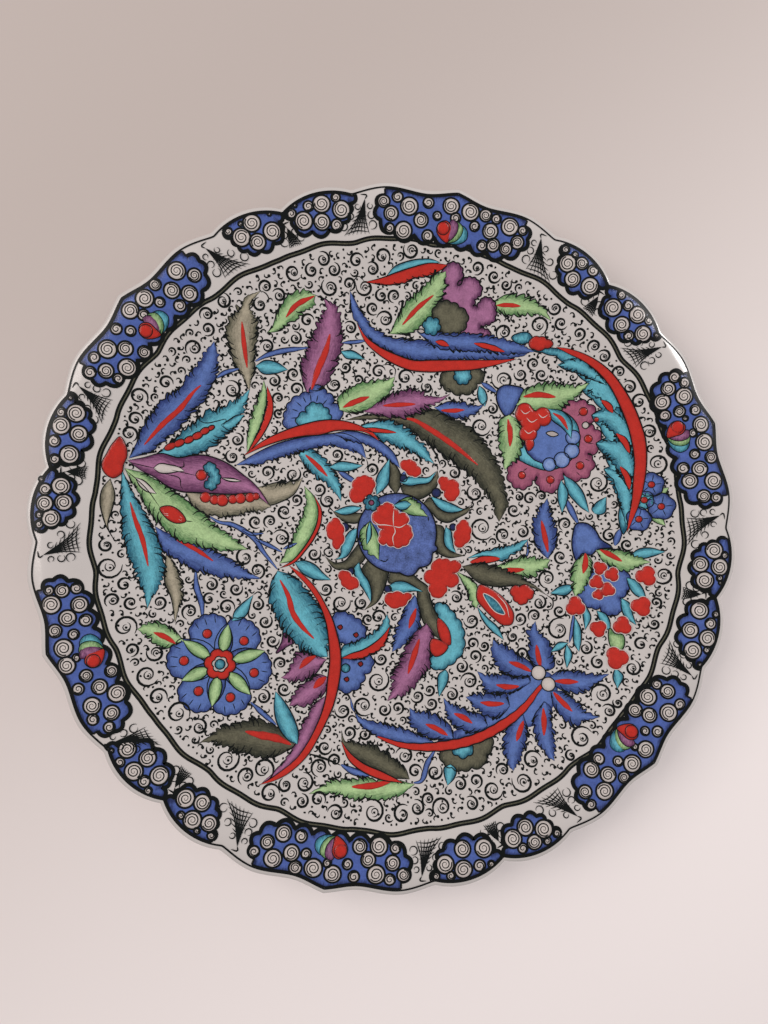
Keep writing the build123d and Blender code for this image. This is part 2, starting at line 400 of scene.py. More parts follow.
leaf(G, "turquoise", (-104, 13.6), [(-99.6, 19), (-95, 25.4), (-90.4, 31.2), (-87.5, 34.6), (-82.3, 38.7),
     (-77.1, 42.1)], (-71, 49.5), [(-97.9, 13.8), (-90.4, 16.7), (-84.6, 20.2), (-80, 24.8), (-76, 30),
     (-74, 35), (-71.8, 42)], pitch=3.6, depth=1.3, level=0)
leaf(G, "turquoise", (-80, 32), [(-77, 34.8), (-74.6, 37.2)], (-71.2, 38.4), [(-76.4, 30.5), (-73.4, 33.6)], level=1,
     teeth="r")
for x, y, a, b in ((-98.4, 18.6, 2.6, 1.3), (-95.2, 20.8, 2.4, 1.5), (-91.6, 23.0, 2.3, 1.4), (-88.6, 25.4, 2.4, 1.5),
                   (-86.0, 28.0, 2.2, 1.4), (-83.8, 29.8, 1.8, 1.0)):
    o = circle(0, 0, 1, 14) * (a, b) @ np.array([[0.77, 0.64], [-0.64, 0.77]]) + (x, y)
    patch(G, "red", o, level=1, spacing=1.0, dome=0.1)
ink([(-90.4, 32.5), (-87, 31.4), (-81.5, 33.4), (-78.3, 34.8), (-79, 31.5)], 0.4, 1)
leaf(G, "purple", (-113.5, 9.2), [(-107.7, 11.8), (-101.3, 15), (-94.4, 14.7), (-89.2, 16.7), (-84.6, 17.9),
     (-78.8, 17.6), (-73, 16.1), (-67.3, 13.3), (-62.7, 11), (-58.6, 8)], (-53.6, 2.6), [(-107.7, 6.3), (-101.9, 4.6),
     (-97.3, 2.3), (-90.4, 0.9), (-84.6, 1.7), (-76, 2.9), (-69.6, 4), (-61.5, 5.8)], teeth="", level=4, line=0.6)
leaf(G, "white", (-103.2, 8.2), [(-101.6, 10.4), (-97, 11), (-92.6, 10.6)], (-90.8, 9.6), [(-100.5, 6.9), (-97, 7.4),
     (-94, 8.6)], teeth="", level=5)
leaf(G, "white", (-75.6, 9.9), [(-73, 10.3), (-70, 10.6)], (-66.8, 10.2), [(-72.5, 9.2), (-69.5, 9.4)], teeth="",
     level=5, line=0.6)
ink([(-113, 8.6), (-102, 8.3)], 0.35, 5)
ink([(-96, 9), (-86, 8.8)], 0.35, 5)
ink([(-98, 6.8), (-92, 6), (-91, 3), (-90, 2)], 0.4, 5)
ink([(-94, 10.8), (-91.5, 11.4), (-92, 13.6)], 0.5, 5)
lobes(G, "turquoise", [(-83.2, 12.1), (-82.8, 14.3), (-80.2, 15.2), (-78.6, 13.6), (-76.9, 11.4), (-75.9, 9.2),
      (-77, 6.6), (-77.4, 4.6), (-79.7, 4.3), (-81.9, 6.0), (-80.6, 7.6), (-80.0, 9.4), (-81.2, 11)], 0.2, level=5)
dot(G, "red", -83.8, 9.4, 2.2, level=5, dome=0.3)
blob(G, "red", [(-117.8, 18.2), (-115.8, 16.1), (-114, 10.6), (-114.6, 7.4), (-114.7, 3.6), (-117.5, 0.9),
     (-121, 2.4), (-122.5, 5.2), (-121.5, 10.4), (-119.9, 15.2)], level=6, dome=0.3)

# ---------------------------------------------------------------- leaves above and right of the spray
G = "left_sprigs"
band(G, "blue", [(-86, 50.5), (-82, 54.2), (-77, 56.9)], 1.8)
band(G, "blue", [(-71, 61.5), (-66.5, 65.2), (-61.5, 67.9), (-50.4, 72)], 2.2)
leaf(G, "turquoise", (-70.5, 59.6), [(-67.3, 62.7), (-61.5, 63)], (-56.9, 61), [(-67.3, 57.2), (-61.5, 58.4)], teeth="")
leaf(G, "beige", (-71.2, 49), [(-77.7, 56.9), (-82.3, 63.8), (-84.6, 70.2), (-83.8, 76), (-81.5, 81), (-79.4, 85.5)],
     (-74, 90.2), [(-71, 58.6), (-72, 67.3), (-72.7, 73), (-74, 78), (-76.8, 84)], pitch=4.2, depth=1.3,
     rib=([(-79.3, 76.2), (-77, 68), (-73.8, 58)], 2.0), line=0.5)
ink([(-74, 90.2), (-71.5, 89.6), (-70, 87.4), (-71, 85.8)], 0.5)
leaf(G, "green", (-68.5, 74), [(-66.7, 77.3), (-65.6, 83.5), (-63.8, 88), (-61.5, 91.8), (-56.9, 94.2)], (-51.2, 94.2),
     [(-63.8, 76.2), (-61, 79.4), (-56.9, 83.5), (-54, 87.5), (-51.7, 91)], pitch=3.4, depth=1.2,
     rib=([(-61.8, 82.3), (-58.6, 88), (-51.7, 93.6)], 2.2))
ink([(-65.5, 91.9), (-63, 91.6), (-60.5, 92.6)], 0.7)
ink([(-51.3, 94.1), (-49, 93.6), (-46.5, 93.4), (-44, 91.4)], 0.6)
leaf(G, "purple", (-47.1, 53), [(-49.6, 56.9), (-51.4, 62.1), (-51.2, 68.5), (-50, 74.2), (-48.5, 81.1),
     (-47.1, 85.8), (-46, 90.4)], (-47.8, 93.8), [(-41.9, 55.2), (-38.4, 62.1), (-36.7, 69.6), (-36.4, 77.1),
     (-37.9, 83.5), (-40.2, 89.2), (-43.6, 92.3)], pitch=3.8, depth=1.2,
     rib=([(-45.4, 54.8), (-44.2, 64.4), (-42.5, 73), (-42.2, 79.8)], 2.9), line=0.5)
band(G, "blue", [(-36.3, 77.3), (-31, 78.8), (-26.5, 80.4)], 1.6)
leaf(G, "turquoise", (-36.3, 73.6), [(-31.7, 75), (-28, 74)], (-25.2, 72.4), [(-33.5, 71.2), (-29.5, 71.6)], teeth="")
ink([(-25.2, 72.4), (-22.9, 70.6), (-22.6, 68.2)], 0.5)
leaf(G, "green", (-67, 22.5), [(-68, 28), (-68.2, 33.5), (-67.9, 39.2), (-66.9, 46), (-66.2, 50.5)], (-66, 54.5),
     [(-65, 29), (-63.3, 36), (-62.9, 43), (-63.8, 49.5)], teeth="l")
leaf(G, "red", (-66.7, 22.5), [(-65, 29), (-63.3, 36), (-62.9, 43), (-63.4, 48)], (-64.2, 52.4), [(-63.2, 28.5),
     (-60.6, 35.5), (-59.6, 41), (-60.6, 46.5)], teeth="l", depth=0.7)
ink([(-66, 54.5), (-67.6, 56.2), (-70, 55.4)], 0.4)

# ---------------------------------------------------------------- half rosette and the arc over the centre
G = "upper_arc"
lobes(G, "blue", [(-53.2, 36.5), (-54.4, 40.2), (-54, 44), (-53, 48), (-50, 51), (-45.8, 53), (-45.2, 56.2),
      (-40.6, 56.4), (-38.6, 54.6), (-35.4, 53.4), (-35.6, 50.6), (-31.6, 49.4), (-30.6, 45.4), (-36, 42), (-45, 39)],
      0.16, level=0)
for a in (62, 88, 108, 128, 150, 172, 196):
    ca, sa = math.cos(math.radians(a)), math.sin(math.radians(a))
    ink([(-42.5 + 6.5 * ca, 43.5 + 6.5 * sa), (-42.5 + 9.6 * ca, 43.5 + 9.6 * sa)], 0.4, 1)
lobes(G, "turquoise", [(-48.5, 39), (-48.6, 42.2), (-45.5, 44.6), (-45.2, 48), (-42, 49.2), (-38.8, 48.4), (-36, 46),
      (-34.8, 43.6), (-39, 41.4)], 0.2, level=1)
leaf(G, "blue", (-70.5, 16.5), [(-64, 22.5), (-56, 28.5), (-46, 33.5), (-36, 37), (-27, 39), (-20, 36.5)],
     (-16.5, 30.2), [(-62, 18.6), (-54, 22.8), (-45, 27.7), (-38, 31.5), (-30, 33), (-22, 32.4)], level=1, teeth="r",
     pitch=4.0)
leaf(G, "blue", (-33, 38), [(-26, 40.5), (-18, 40.5), (-11, 38.5), (-5, 34.8)], (-1.2, 29), [(-26, 36.6), (-19, 36.6),
     (-12, 34.5), (-6.5, 31.4)], level=1, teeth="r", pitch=3.6)
ink([(-16.5, 30.2), (-15.3, 27.4), (-16.4, 25.4)], 0.4)
leaf(G, "turquoise", (-22, 43.2), [(-17.5, 46.2), (-12, 48), (-5.5, 47.5), (0, 45.2), (5.5, 41.5)], (13, 33.8),
     [(-15, 41), (-9, 39.2), (-2.5, 38), (3, 37), (8.5, 35)], level=2, pitch=3.8, depth=1.3)
leaf(G, "red", (-68.5, 20.8), [(-61, 29.2), (-53.4, 35), (-45, 39.8), (-39.2, 42.4), (-33.5, 43.9), (-27, 44.3),
     (-20.2, 43.3), (-15.5, 41.7)], (-12.5, 38.8), [(-61.5, 26), (-52.9, 31), (-45, 34.3), (-37.5, 36.5),
     (-32.3, 39.2), (-26, 40.8), (-19, 41.3)], teeth="", level=3, line=0.5)
band(G, "red", [(-22, 42.4), (-14, 43.2), (-6, 43.9)], 1.9, level=3)
leaf(G, "turquoise", (-46, 26.7), [(-41.5, 29.4), (-36.3, 27.7), (-32.3, 24.8), (-28.3, 20.8), (-24.8, 15.6)],
     (-23.6, 10), [(-41.5, 21.9), (-36.3, 18.5), (-31.2, 16.7), (-27.1, 13.3)], rib=([(-42.5, 26.7), (-37.5, 23.7),
     (-31.4, 19.4)], 2.0))
leaf(G, "turquoise", (-31.6, 23.5), [(-27.7, 26.6), (-22.5, 27.2)], (-17.4, 27), [(-28.3, 22.6), (-23.7, 23.1),
     (-20.2, 24.8)], teeth="", level=1)
band(G, "blue", [(-27.4, 22.6), (-23, 20.8), (-18.3, 19)], 2.4)
leaf(G, "green", (-31.8, 48.6), [(-33.7, 52.5), (-30.6, 57.5), (-26, 61), (-20.2, 63.8), (-14.4, 65.6)],
     (-11.2, 67.6), [(-26, 48.3), (-20.2, 51.1), (-15.6, 55.2), (-13.3, 59.2), (-11.5, 63)], pitch=3.4, level=1,
     rib=([(-30.6, 50), (-26, 53.4), (-20.4, 56.8)], 2.5))
ink([(-11.2, 67.6), (-11.6, 71), (-15, 72.4), (-18, 71.2)], 0.5)
leaf(G, "purple", (-21.5, 50), [(-15, 55.8), (-11.5, 59.8), (-5.8, 62.1), (0, 63.8), (5.2, 62.2), (9.8, 62.7)],
     (14, 65.2), [(-12.7, 49.9), (-5.8, 50.6), (0, 53.4), (4.6, 56.9), (9.4, 60.4)], pitch=3.0, depth=1.5, level=2,
     rib=([(-13.8, 54.2), (-8, 55.8), (0, 57.8)], 2.0))
ink([(14, 65.2), (13.6, 67.2), (11.6, 67.6)], 0.4)
ink([(5.6, 62.6), (6.2, 65), (4.4, 67.6)], 0.4)
leaf(G, "blue", (8.3, 58), [(12.7, 61), (17.3, 62.4), (23.1, 62.1), (28.3, 63)], (30.8, 66.3), [(13.3, 56),
     (18.5, 55.2), (23.1, 56.9), (27.1, 60.2)], level=2, rib=([(11.5, 57.4), (16.2, 58.2), (21.6, 59.7)], 1.9))
leaf(G, "olive", (-28.5, 44.8), [(-20.2, 49), (-12.7, 50.2), (-5.8, 50.8), (0, 53.4), (4, 56.3), (10.4, 56.9),
     (16.2, 55.2), (24.2, 52.9), (30, 49.4), (35.8, 44.2), (41, 38.6), (43.7, 32.9), (46.5, 27.1), (48, 21.9),
     (47, 17.9)], (45.7, 14.6), [(-20.2, 46.8), (-12.7, 48.3), (-4.6, 47.9), (2, 45.6), (8.7, 42.1), (12.7, 40.2),
     (17.3, 37.8), (21.9, 36), (27.7, 33.2), (32.9, 30), (37.5, 26), (41.6, 21.3), (44.2, 16.5)], level=0, pitch=4.2,
     rib=([(-5.2, 50.4), (0, 50.9), (6.9, 48.8), (15.6, 45.4), (24.2, 41.3), (31.9, 37.1)], 2.5))
for p in ([(9, 42), (13, 38), (15.8, 33.6)], [(17.5, 38.4), (22.6, 35.4), (24.8, 31.6), (24.4, 29.6)],
          [(13, 40.4), (17.4, 37.6), (19.2, 35)]):
    ink(p, 0.8)

# ---------------------------------------------------------------- centre
G = "centre"
leaf(G, "olive", (-1, 17.5), [(-5.2, 21.9), (-5.2, 26), (-6.3, 29.4)], (-9.4, 33.6), [(0, 20), (-0.3, 26),
     (-2.3, 28.8), (-4.6, 31)], teeth="")
leaf(G, "olive", (3, 17), [(0.6, 22), (4, 22.9), (8.1, 23.9), (12.1, 25.4), (14, 28)], (15, 31.2), [(9.8, 17.6),
     (13.3, 20.4), (15.8, 24.2), (16, 28)], teeth="")
leaf(G, "olive", (11, 15), [(13.9, 19.2), (17.3, 16.1), (21.4, 14.4), (26, 15)], (32.3, 18.6), [(15.6, 13),
     (19.6, 10.2),
     (23.4, 9.8), (28.3, 13.3), (31.4, 16)], teeth="")
leaf(G, "olive", (17, 8), [(22, 7.6), (23.3, 3.5), (24.6, 0), (27, -1.9)], (33.6, -2.9), [(19.2, 1.1), (21.4, -3.4),
     (26, -5)], teeth="")
leaf(G, "olive", (-13, 6.9), [(-19.6, 5.6)], (-26.2, 5), [(-14.4, 2.6), (-19, 1.5), (-23.3, 2.7)], teeth="")
leaf(G, "olive", (-12, -4.6), [(-14.7, -10.4), (-17.3, -15), (-20.8, -16.4)], (-25.8, -14.6), [(-8.5, -10.4),
     (-11.6, -16.4), (-16.2, -18.7), (-20.4, -19)], teeth="")
leaf(G, "olive", (-7, -11.5), [(-9.2, -18.5), (-5.8, -21.4), (-3.7, -25.4), (-2.6, -29.5)], (-4.8, -34), [(2.3, -15),
     (2.3, -19), (1.7, -24.2), (0, -29.6)], teeth="")
leaf(G, "olive", (3, -15.5), [(12.7, -15), (16.2, -17), (20.2, -19), (22.5, -24.2), (25.4, -28.9), (29.4, -33.5)],
     (34.6, -41.8), [(3, -20.5), (10, -19), (15.8, -21.4), (17, -26), (19, -30), (21.3, -34.6), (25.4, -38),
     (30, -40.6)], teeth="", level=1)
for tail, left, tip, right in (
        ((-9.2, 15.6), [(-10.4, 20.2), (-10.4, 23.7), (-8.9, 27.7)], (-6.6, 32.2), [(-6.3, 19), (-4.9, 21.9),
         (-5.2, 25.4)]),
        ((0.2, 22.8), [(2.9, 26), (6.9, 26.8), (11.5, 27.6)], (14.6, 31), [(4, 22.3), (8.1, 23.7), (12.1, 25.2)]),
        ((14.2, 19.6), [(20.2, 19), (25.4, 17.9), (29.4, 17)], (32.4, 19.4), [(17.3, 16.1), (21.4, 14.2),
         (26, 14.8)]),
        ((23, 7.8), [(25.4, 6.9), (26.8, 3.5), (28.3, -0.4)], (29.6, -2.3), [(23, 3.5), (24.2, 0), (26.6, -1.8)]),
        ((-14.2, 9.2), [(-19, 8.9), (-21.9, 7.7)], (-25.6, 5.2), [(-16.2, 6.9), (-19.6, 4.9), (-22.5, 4.4)]),
        ((-14.6, 0), [(-17.3, -1.7), (-19, -5.2), (-19.8, -9.2), (-19.6, -13.3)], (-21.9, -15.4), [(-14.2, -4),
         (-15, -8.7), (-16.7, -12.9)]),
        ((-11, -14.2), [(-12.8, -17.3), (-10.4, -21.9), (-6.9, -25.4)], (-2.7, -30.2), [(-8.8, -18.2), (-5.6, -21.2),
         (-3.5, -25.2)]),
        ((3.3, -21.9), [(6.3, -19.4), (10.4, -18.8), (14.4, -20)], (18.7, -21.6), [(5.8, -24.2), (9.8, -23.9),
         (14.4, -22.1)])):
    leaf(G, "turquoise", tail, left, tip, right, teeth="", level=2, line=0.5)
for p in ([(-9.4, 33.6), (-11.3, 31.4), (-10.6, 29.6)], [(15, 31.2), (14.4, 33.2), (12.4, 32.8)],
          [(32.3, 19.2), (32.6, 21.8), (31, 23.2)], [(33.6, -2.9), (33.8, -0.6), (32, 0.4)],
          [(-26, 5.1), (-28, 6.6), (-27.4, 8.6)], [(-25.8, -14.8), (-26.6, -12), (-24.6, -10.6), (-22.8, -11.8)],
          [(-4.8, -34), (-8, -33.4), (-9.6, -31), (-8.4, -29.4)]):
    ink(p, 0.6)
for pts in ([(-20.2, 16.7), (-19.6, 20.6), (-17.6, 22.2), (-13.8, 22.8), (-11.2, 21.6), (-10.8, 17.9), (-13.6, 13.8),
             (-16.2, 10.6), (-19.8, 11.4)],
            [(-1.9, 31.2), (0.8, 33.2), (3.6, 33.4), (6, 31.6), (8.1, 29.8), (7.2, 27.2), (4.6, 26.6), (1.2, 28.1)],
            [(16, 27.9), (18.5, 29.3), (20.9, 28.3), (23.9, 28.6), (25.6, 25.8), (25.4, 21), (23.6, 19.1), (20.8, 19.8),
             (19.4, 22.8), (16.9, 25.2)],
            [(27.6, 7.5), (28.3, 10.6), (30.8, 12.7), (33, 10.6), (34.5, 6.8), (32.9, 2), (29.6, -0.1), (27.8, 3)],
            [(-26.2, 1.1), (-24.6, 2.8), (-21.9, 0.9), (-19.8, -3.6), (-20, -8.8), (-21.6, -11), (-24.2, -7.2),
             (-27.2, -4.6)],
            [(-18.8, -20.2), (-16.4, -18.9), (-12.9, -20.6), (-9, -23.8), (-10.6, -25.9), (-14.8, -26.2),
             (-17.3, -23.6)],
            [(2.6, -26.4), (5.6, -24.4), (10.4, -24), (14.2, -23.6), (13, -26.6), (10.2, -30), (4.8, -30.3)],
            [(21.4, -7.1), (24.4, -6.1), (28, -6.3), (32.3, -6.3), (32.7, -9), (30, -11.2), (33, -13.2), (32.2, -16.4),
             (28.4, -17.4), (28.2, -20.8), (24.6, -23.2), (21.9, -21.6), (20.8, -17.9), (17.5, -14.8), (20.2, -11.5)]):
    lobes(G, "red", pts, 0.12, level=3, dome=0.22, line=0.3, line_colour="white", spacing=1.4)
for x, y, r in ((16.2, 21.6, 2.0), (26.2, 8.4, 1.5), (-20.0, -0.6, 1.9), (-13.6, -18.6, 1.5), (1.0, 25.0, 1.6),
                (3.4, -23.2, 1.6)):
    dot(G, "navy", x, y, r, level=2)
band(G, "blue", [(1, 28), (0.6, 25), (0.2, 23)], 2.4, level=1)
a = np.linspace(0, 2 * np.pi, 120, endpoint=False)
bump = np.where((a > 5.0) & (a < 6.15), 1.9 * np.abs(np.sin(6.6 * (a - 5.0))), 0.0) + 0.4 * ((a > 5.0) & (a < 6.1))
patch(G, "ball", np.column_stack([2.7 + (17.2 + bump) * np.cos(a), 1.2 + (17.2 + bump) * np.sin(a)]), level=4,
      line=0.6)
leaf(G, "green", (-1.1, 12.7), [(1.7, 15.6), (5.2, 17.3), (8.7, 16.1), (10.8, 13.6)], (14.6, 10.8), [(2.9, 10.9),
     (6.9, 10), (11.5, 10.4)], teeth="l", level=5)
leaf(G, "turquoise", (-1.1, 12.7), [(1.4, 14.8), (4, 15.6)], (6.4, 14.6), [(2, 11.2), (4.6, 12)], teeth="", level=6)
leaf(G, "green", (-9.8, 4.2), [(-12.8, -0.6), (-12.1, -4.6), (-9.2, -8.1)], (-2.9, -11.6), [(-6.9, 1.1), (-4.4, -2.9),
     (-3.6, -6.9)], teeth="l", level=5)
leaf(G, "turquoise", (-9.8, 4.2), [(-10.4, 0), (-10, -3.4)], (-9.2, -6.4), [(-8.6, 1), (-8, -2.6)], teeth="", level=6)
ink([(14.6, 10.8), (15.2, 8.8)], 0.5, 5)
ink([(-2.9, -11.6), (0.4, -11.6), (1, -10.2)], 0.5, 5)
lobes(G, "red", [(-9.2, 5.2), (-8, 8.8), (-5.8, 12), (-2.6, 13.3), (-0.4, 11.2), (2.2, 9.8), (6, 9.4), (6.2, 5.8),
      (8.8, 3.4), (8.8, -0.8), (6.2, -4), (2.3, -4.7), (-1, -4.2), (-3.4, -4.9), (-4.6, -1.4), (-3.8, 1.6),
          (-6.4, 3.2)],
      0.14, level=6, dome=0.3, line=0.35, line_colour="white", spacing=1.2)
for p in ([(-8.6, 4.6), (-5.8, 3.2), (-3.4, 3.6), (0.6, 3.8)], [(-0.6, 10.6), (-0.2, 7.4), (0.6, 3.8)],
          [(0.6, 3.8), (3.4, 3.8), (5.8, 5.8)], [(0.6, 3.8), (1.8, 1.6), (1.2, -0.8), (2.4, -4.4)]):
    ink(p, 0.4, 12, colour="white")
flower(G, "turquoise", -10.6, 11.9, 3.7, 6, 0.28, level=7)
dot(G, "pink", -10.7, 11.9, 1.2, level=8)

# ---------------------------------------------------------------- stems
G = "stems"
for pts, w in (([(-77.7, -6.9), (-73, -8.7), (-67.3, -8.7), (-61.5, -10.4), (-56.9, -12.7), (-52.3, -17.3),
                 (-44.8, -23.7)], 2.1), ([(-56.9, -12.7), (-50, -14.5), (-44.2, -16.2)], 1.6),
               ([(-63, -9.9), (-58, -11), (-53.4, -9.8)], 1.3), ([(-78.3, -30.6), (-76, -38.5), (-73.6, -42.5),
                 (-71.3, -50)], 2.4), ([(-44.8, -80.6), (-38, -84.8), (-32.3, -88.1)], 2.0),
               ([(29.4, -101.4), (31.7, -100.8), (34, -92.7), (36.4, -86.4)], 2.2), ([(26.5, 73), (34, 70.2)], 2.2),
               ([(-38.6, -11.2), (-44, -14.8)], 1.4), ([(59.6, 9), (60.6, 2.6), (57, -1.4)], 1.0)):
    band(G, "blue", pts, w, level=0)

# ---------------------------------------------------------------- the long red arc at the lower left
G = "lower_arc"
lobes(G, "blue", [(-17.3, -38.5), (-15, -36.9), (-11.4, -37.2), (-8.1, -38.2), (-4.6, -40.2), (-2.5, -43.7),
      (-3.5, -47), (-6.6, -49.2), (-11, -49.4), (-14.6, -46.8)], 0.18, level=0)
lobes(G, "blue", [(-11, -57.5), (-5.4, -55.8), (-1, -52.9), (2.4, -53.6), (3, -57.3), (0.4, -60.8), (-0.4, -65),
      (-3.4, -68.6), (-8, -69.6), (-10.6, -66)], 0.18, level=0)
for x, y in ((-13.6, -43.1), (-6.3, -45.1), (-2, -56.9), (-6.6, -64.4)):
    patch(G, "red", np.array([(x - 1.3, y), (x, y + 1.3), (x + 1.3, y), (x, y - 1.3)]), level=1)
dot(G, "turquoise", -8, -59.8, 1.9, level=1)
leaf(G, "turquoise", (-44.5, -24.3), [(-46.4, -30), (-45, -38), (-42.6, -41.6), (-39.8, -45.4), (-35.8, -50),
     (-30, -54), (-24.2, -56.3)], (-16.5, -56.6), [(-37.5, -25.4), (-31.7, -29.4), (-26, -34.6), (-20.8, -41.3),
     (-18.3, -47)], pitch=4, depth=1.2, level=1, rib=([(-42.7, -28), (-38, -34), (-34.6, -40.8), (-29.4, -46),
     (-23.7, -49.9)], 2.4))
leaf(G, "purple", (-16.7, -57.6), [(-21.9, -66), (-26, -67.8), (-30, -69)], (-34.2, -68.6), [(-21.9, -56.8),
     (-28.8, -56.4), (-30.4, -61), (-31.4, -65.6)], level=1, rib=([(-21.5, -57), (-24.8, -59.6), (-27.3, -63.5)], 2.6))
blob(G, "purple", [(-36.5, -49.6), (-33.8, -51), (-31.5, -53), (-34, -55), (-38.4, -59), (-37, -54)], level=1)
leaf(G, "purple", (-14.2, -65), [(-15, -71.4), (-18.5, -75.6), (-21.9, -78)], (-28.5, -79.6), [(-19, -64.5),
     (-22, -67.3), (-25, -70.2), (-27, -74.4)], level=1, rib=([(-15.5, -65), (-17.5, -67.3), (-19.8, -70.6)], 3.0))
leaf(G, "purple", (-13.6, -72.5), [(-14.1, -80), (-15.6, -86.9), (-17.9, -93.9), (-20.8, -99.6), (-26, -105.4)],
     (-33.5, -111.4), [(-17.9, -76.5), (-20, -82.3), (-21.4, -86.9), (-22.6, -92.7), (-24.2, -97.5), (-27, -103.1)],
     teeth="r", level=0)
leaf(G, "turquoise", (-11.5, -55.8), [(-11.3, -51.7), (-5.2, -48), (0, -43.8), (3.4, -39.4)], (5.2, -33.8),
     [(-4.6, -54), (1.2, -50), (5.2, -45.4), (7.3, -39.6)], level=2)
leaf(G, "red", (-10.4, -56), [(-7.5, -53.6), (-2.3, -50.8), (2.3, -46.7), (5.6, -42.3)], (7.4, -38.5), [(-4, -55.2),
     (1.4, -52.2), (5.9, -47.4)], teeth="r", level=3)
leaf(G, "turquoise", (-22, -94.3), [(-25.4, -93.6), (-30, -90.2), (-33, -85.8), (-34.8, -80.6)], (-35.4, -74.6),
     [(-22.3, -90.4), (-24.6, -85.6), (-28.6, -80.4), (-32.1, -77)], teeth="", level=2)
leaf(G, "olive", (-22.6, -95.4), [(-30.6, -100.4), (-39.4, -101.2), (-47.1, -100.4), (-55.8, -98.4)], (-61.4, -99),
     [(-26.5, -90.6), (-33.5, -88.5), (-39.4, -87.4), (-47.1, -89), (-53.4, -91.9), (-58.1, -96)],
     rib=([(-44.4, -92.5), (-39.2, -93), (-30.6, -93.4), (-24.6, -94.9)], 3.2))
leaf(G, "red", (-40.2, -21.2), [(-33.5, -24.0), (-27.7, -28.1), (-21.9, -34.4), (-17.7, -40), (-14.2, -46.5),
     (-11.3, -53.5), (-9.9, -61), (-9.6, -69.6), (-10.2, -77.1), (-11.9, -84), (-14.2, -91.5), (-16.5, -97.3),
     (-20, -102.5), (-24.6, -107.1), (-29.4, -110)], (-34.5, -112), [(-36.9, -23.9), (-31.4, -27.9), (-25, -34.2),
     (-19.9, -42.5), (-17, -51.2), (-15.3, -58.1), (-14.7, -65.6), (-14, -72.5), (-14.4, -80), (-15.9, -86.9),
     (-18.2, -93.9), (-21.1, -99.6), (-26.3, -105.4), (-30.9, -109.6)], teeth="", level=4, line=0.5)
leaf(G, "green", (-44.4, -21.2), [(-41.7, -13.3), (-40, -6.9), (-38.9, -1.2), (-38, 4.6), (-38.7, 9.2)],
     (-40.4, 13.4), [(-39.2, -19), (-35.8, -13.3), (-33.2, -6.9), (-32, -0.6), (-32.6, 4.6), (-35.6, 10)], teeth="l")
leaf(G, "red", (-43.8, -23.1), [(-39.2, -19), (-35.8, -13.3), (-33.2, -6.9), (-32, -0.6), (-32.6, 4.6)],
     (-35.6, 10.4), [(-38.5, -20), (-34.4, -13.5), (-31.5, -6.9), (-30.3, -0.6), (-31.1, 4.6)], teeth="", level=1)
leaf(G, "turquoise", (-38, -19.6), [(-35.5, -18.2), (-30, -18.6), (-25, -21.8)], (-21.3, -24), [(-35, -22.7),
     (-29, -25)], teeth="", level=1)
ink([(-60.8, -99), (-63, -99.6), (-64.6, -98)], 0.5)

# ---------------------------------------------------------------- rosette
G = "rosette"
CX, CY = -60.4, -67.3
for k in range(6):
    a0 = math.radians(90 - 60 * k - 30 + (4 if k in (0, 3) else 0))
    fan = [(CX, CY)] + [(CX + q * math.cos(a0 + math.radians(d)), CY + q * math.sin(a0 + math.radians(d)))
                        for d, q in ((27, 17.5), (16, 20.3), (5.5, 21.2), (-5.5, 21.2), (-16, 20.3), (-27, 17.5))]
    lobes(G, "blue", fan, 0.13, level=0)
    for d in (-12, 0, 12):
        ink([(CX + q * math.cos(a0 + math.radians(d)), CY + q * math.sin(a0 + math.radians(d))) for q in (17.2, 20.4)],
            0.4, 0)
for (tx, ty) in ((-60.4, -50.4), (-43, -58.7), (-45.4, -77.7), (-60, -84.8), (-74.4, -76.3), (-77.3, -60.1)):
    u = np.array([tx - CX, ty - CY])
    u = u / np.linalg.norm(u)
    v = np.array([-u[1], u[0]])
    s, e = np.array([CX, CY]) + u * 4.6, np.array([tx, ty])
    leaf(G, "green", tuple(s), [tuple(s * (1 - q) + e * q + v * w) for q, w in ((0.2, 2.0), (0.5, 2.6), (0.8, 1.5))],
         tuple(e), [tuple(s * (1 - q) + e * q - v * w) for q, w in ((0.2, 2.0), (0.5, 2.6), (0.8, 1.5))], teeth="",
         level=1)
for x, y in ((-68.2, -55.8), (-52.6, -56.1), (-45.8, -68.5), (-53.4, -80), (-66.7, -79.4), (-75.1, -68.2)):
    dot(G, "red", x, y, 1.9, level=2, dome=0.2)
flower(G, "red", CX, CY, 6.6, 6, 0.2, level=3)
flower(G, "white", CX, CY, 3.4, 6, 0.2, level=4)
dot(G, "turquoise", CX, CY, 2.1, level=5)
leaf(G, "green", (-76.6, -60.3), [(-80, -62.3), (-83.5, -64.3), (-87.5, -62.9), (-90.8, -60.6)], (-96, -58.4),
     [(-79, -58.5), (-82.3, -56.1), (-87.5, -54.7), (-92.7, -56)], rib=([(-89.4, -58.7), (-84.6, -59.8),
     (-80, -61.8)], 2.2))
leaf(G, "turquoise", (-59.2, -48.8), [(-59, -44.8), (-56.5, -40.8)], (-52.6, -36.4), [(-55.9, -47.7),
     (-53.3, -44.2), (-53, -40.2)], teeth="")
ink([(-52.6, -36.4), (-50.6, -34.6), (-48.6, -35.6)], 0.5)

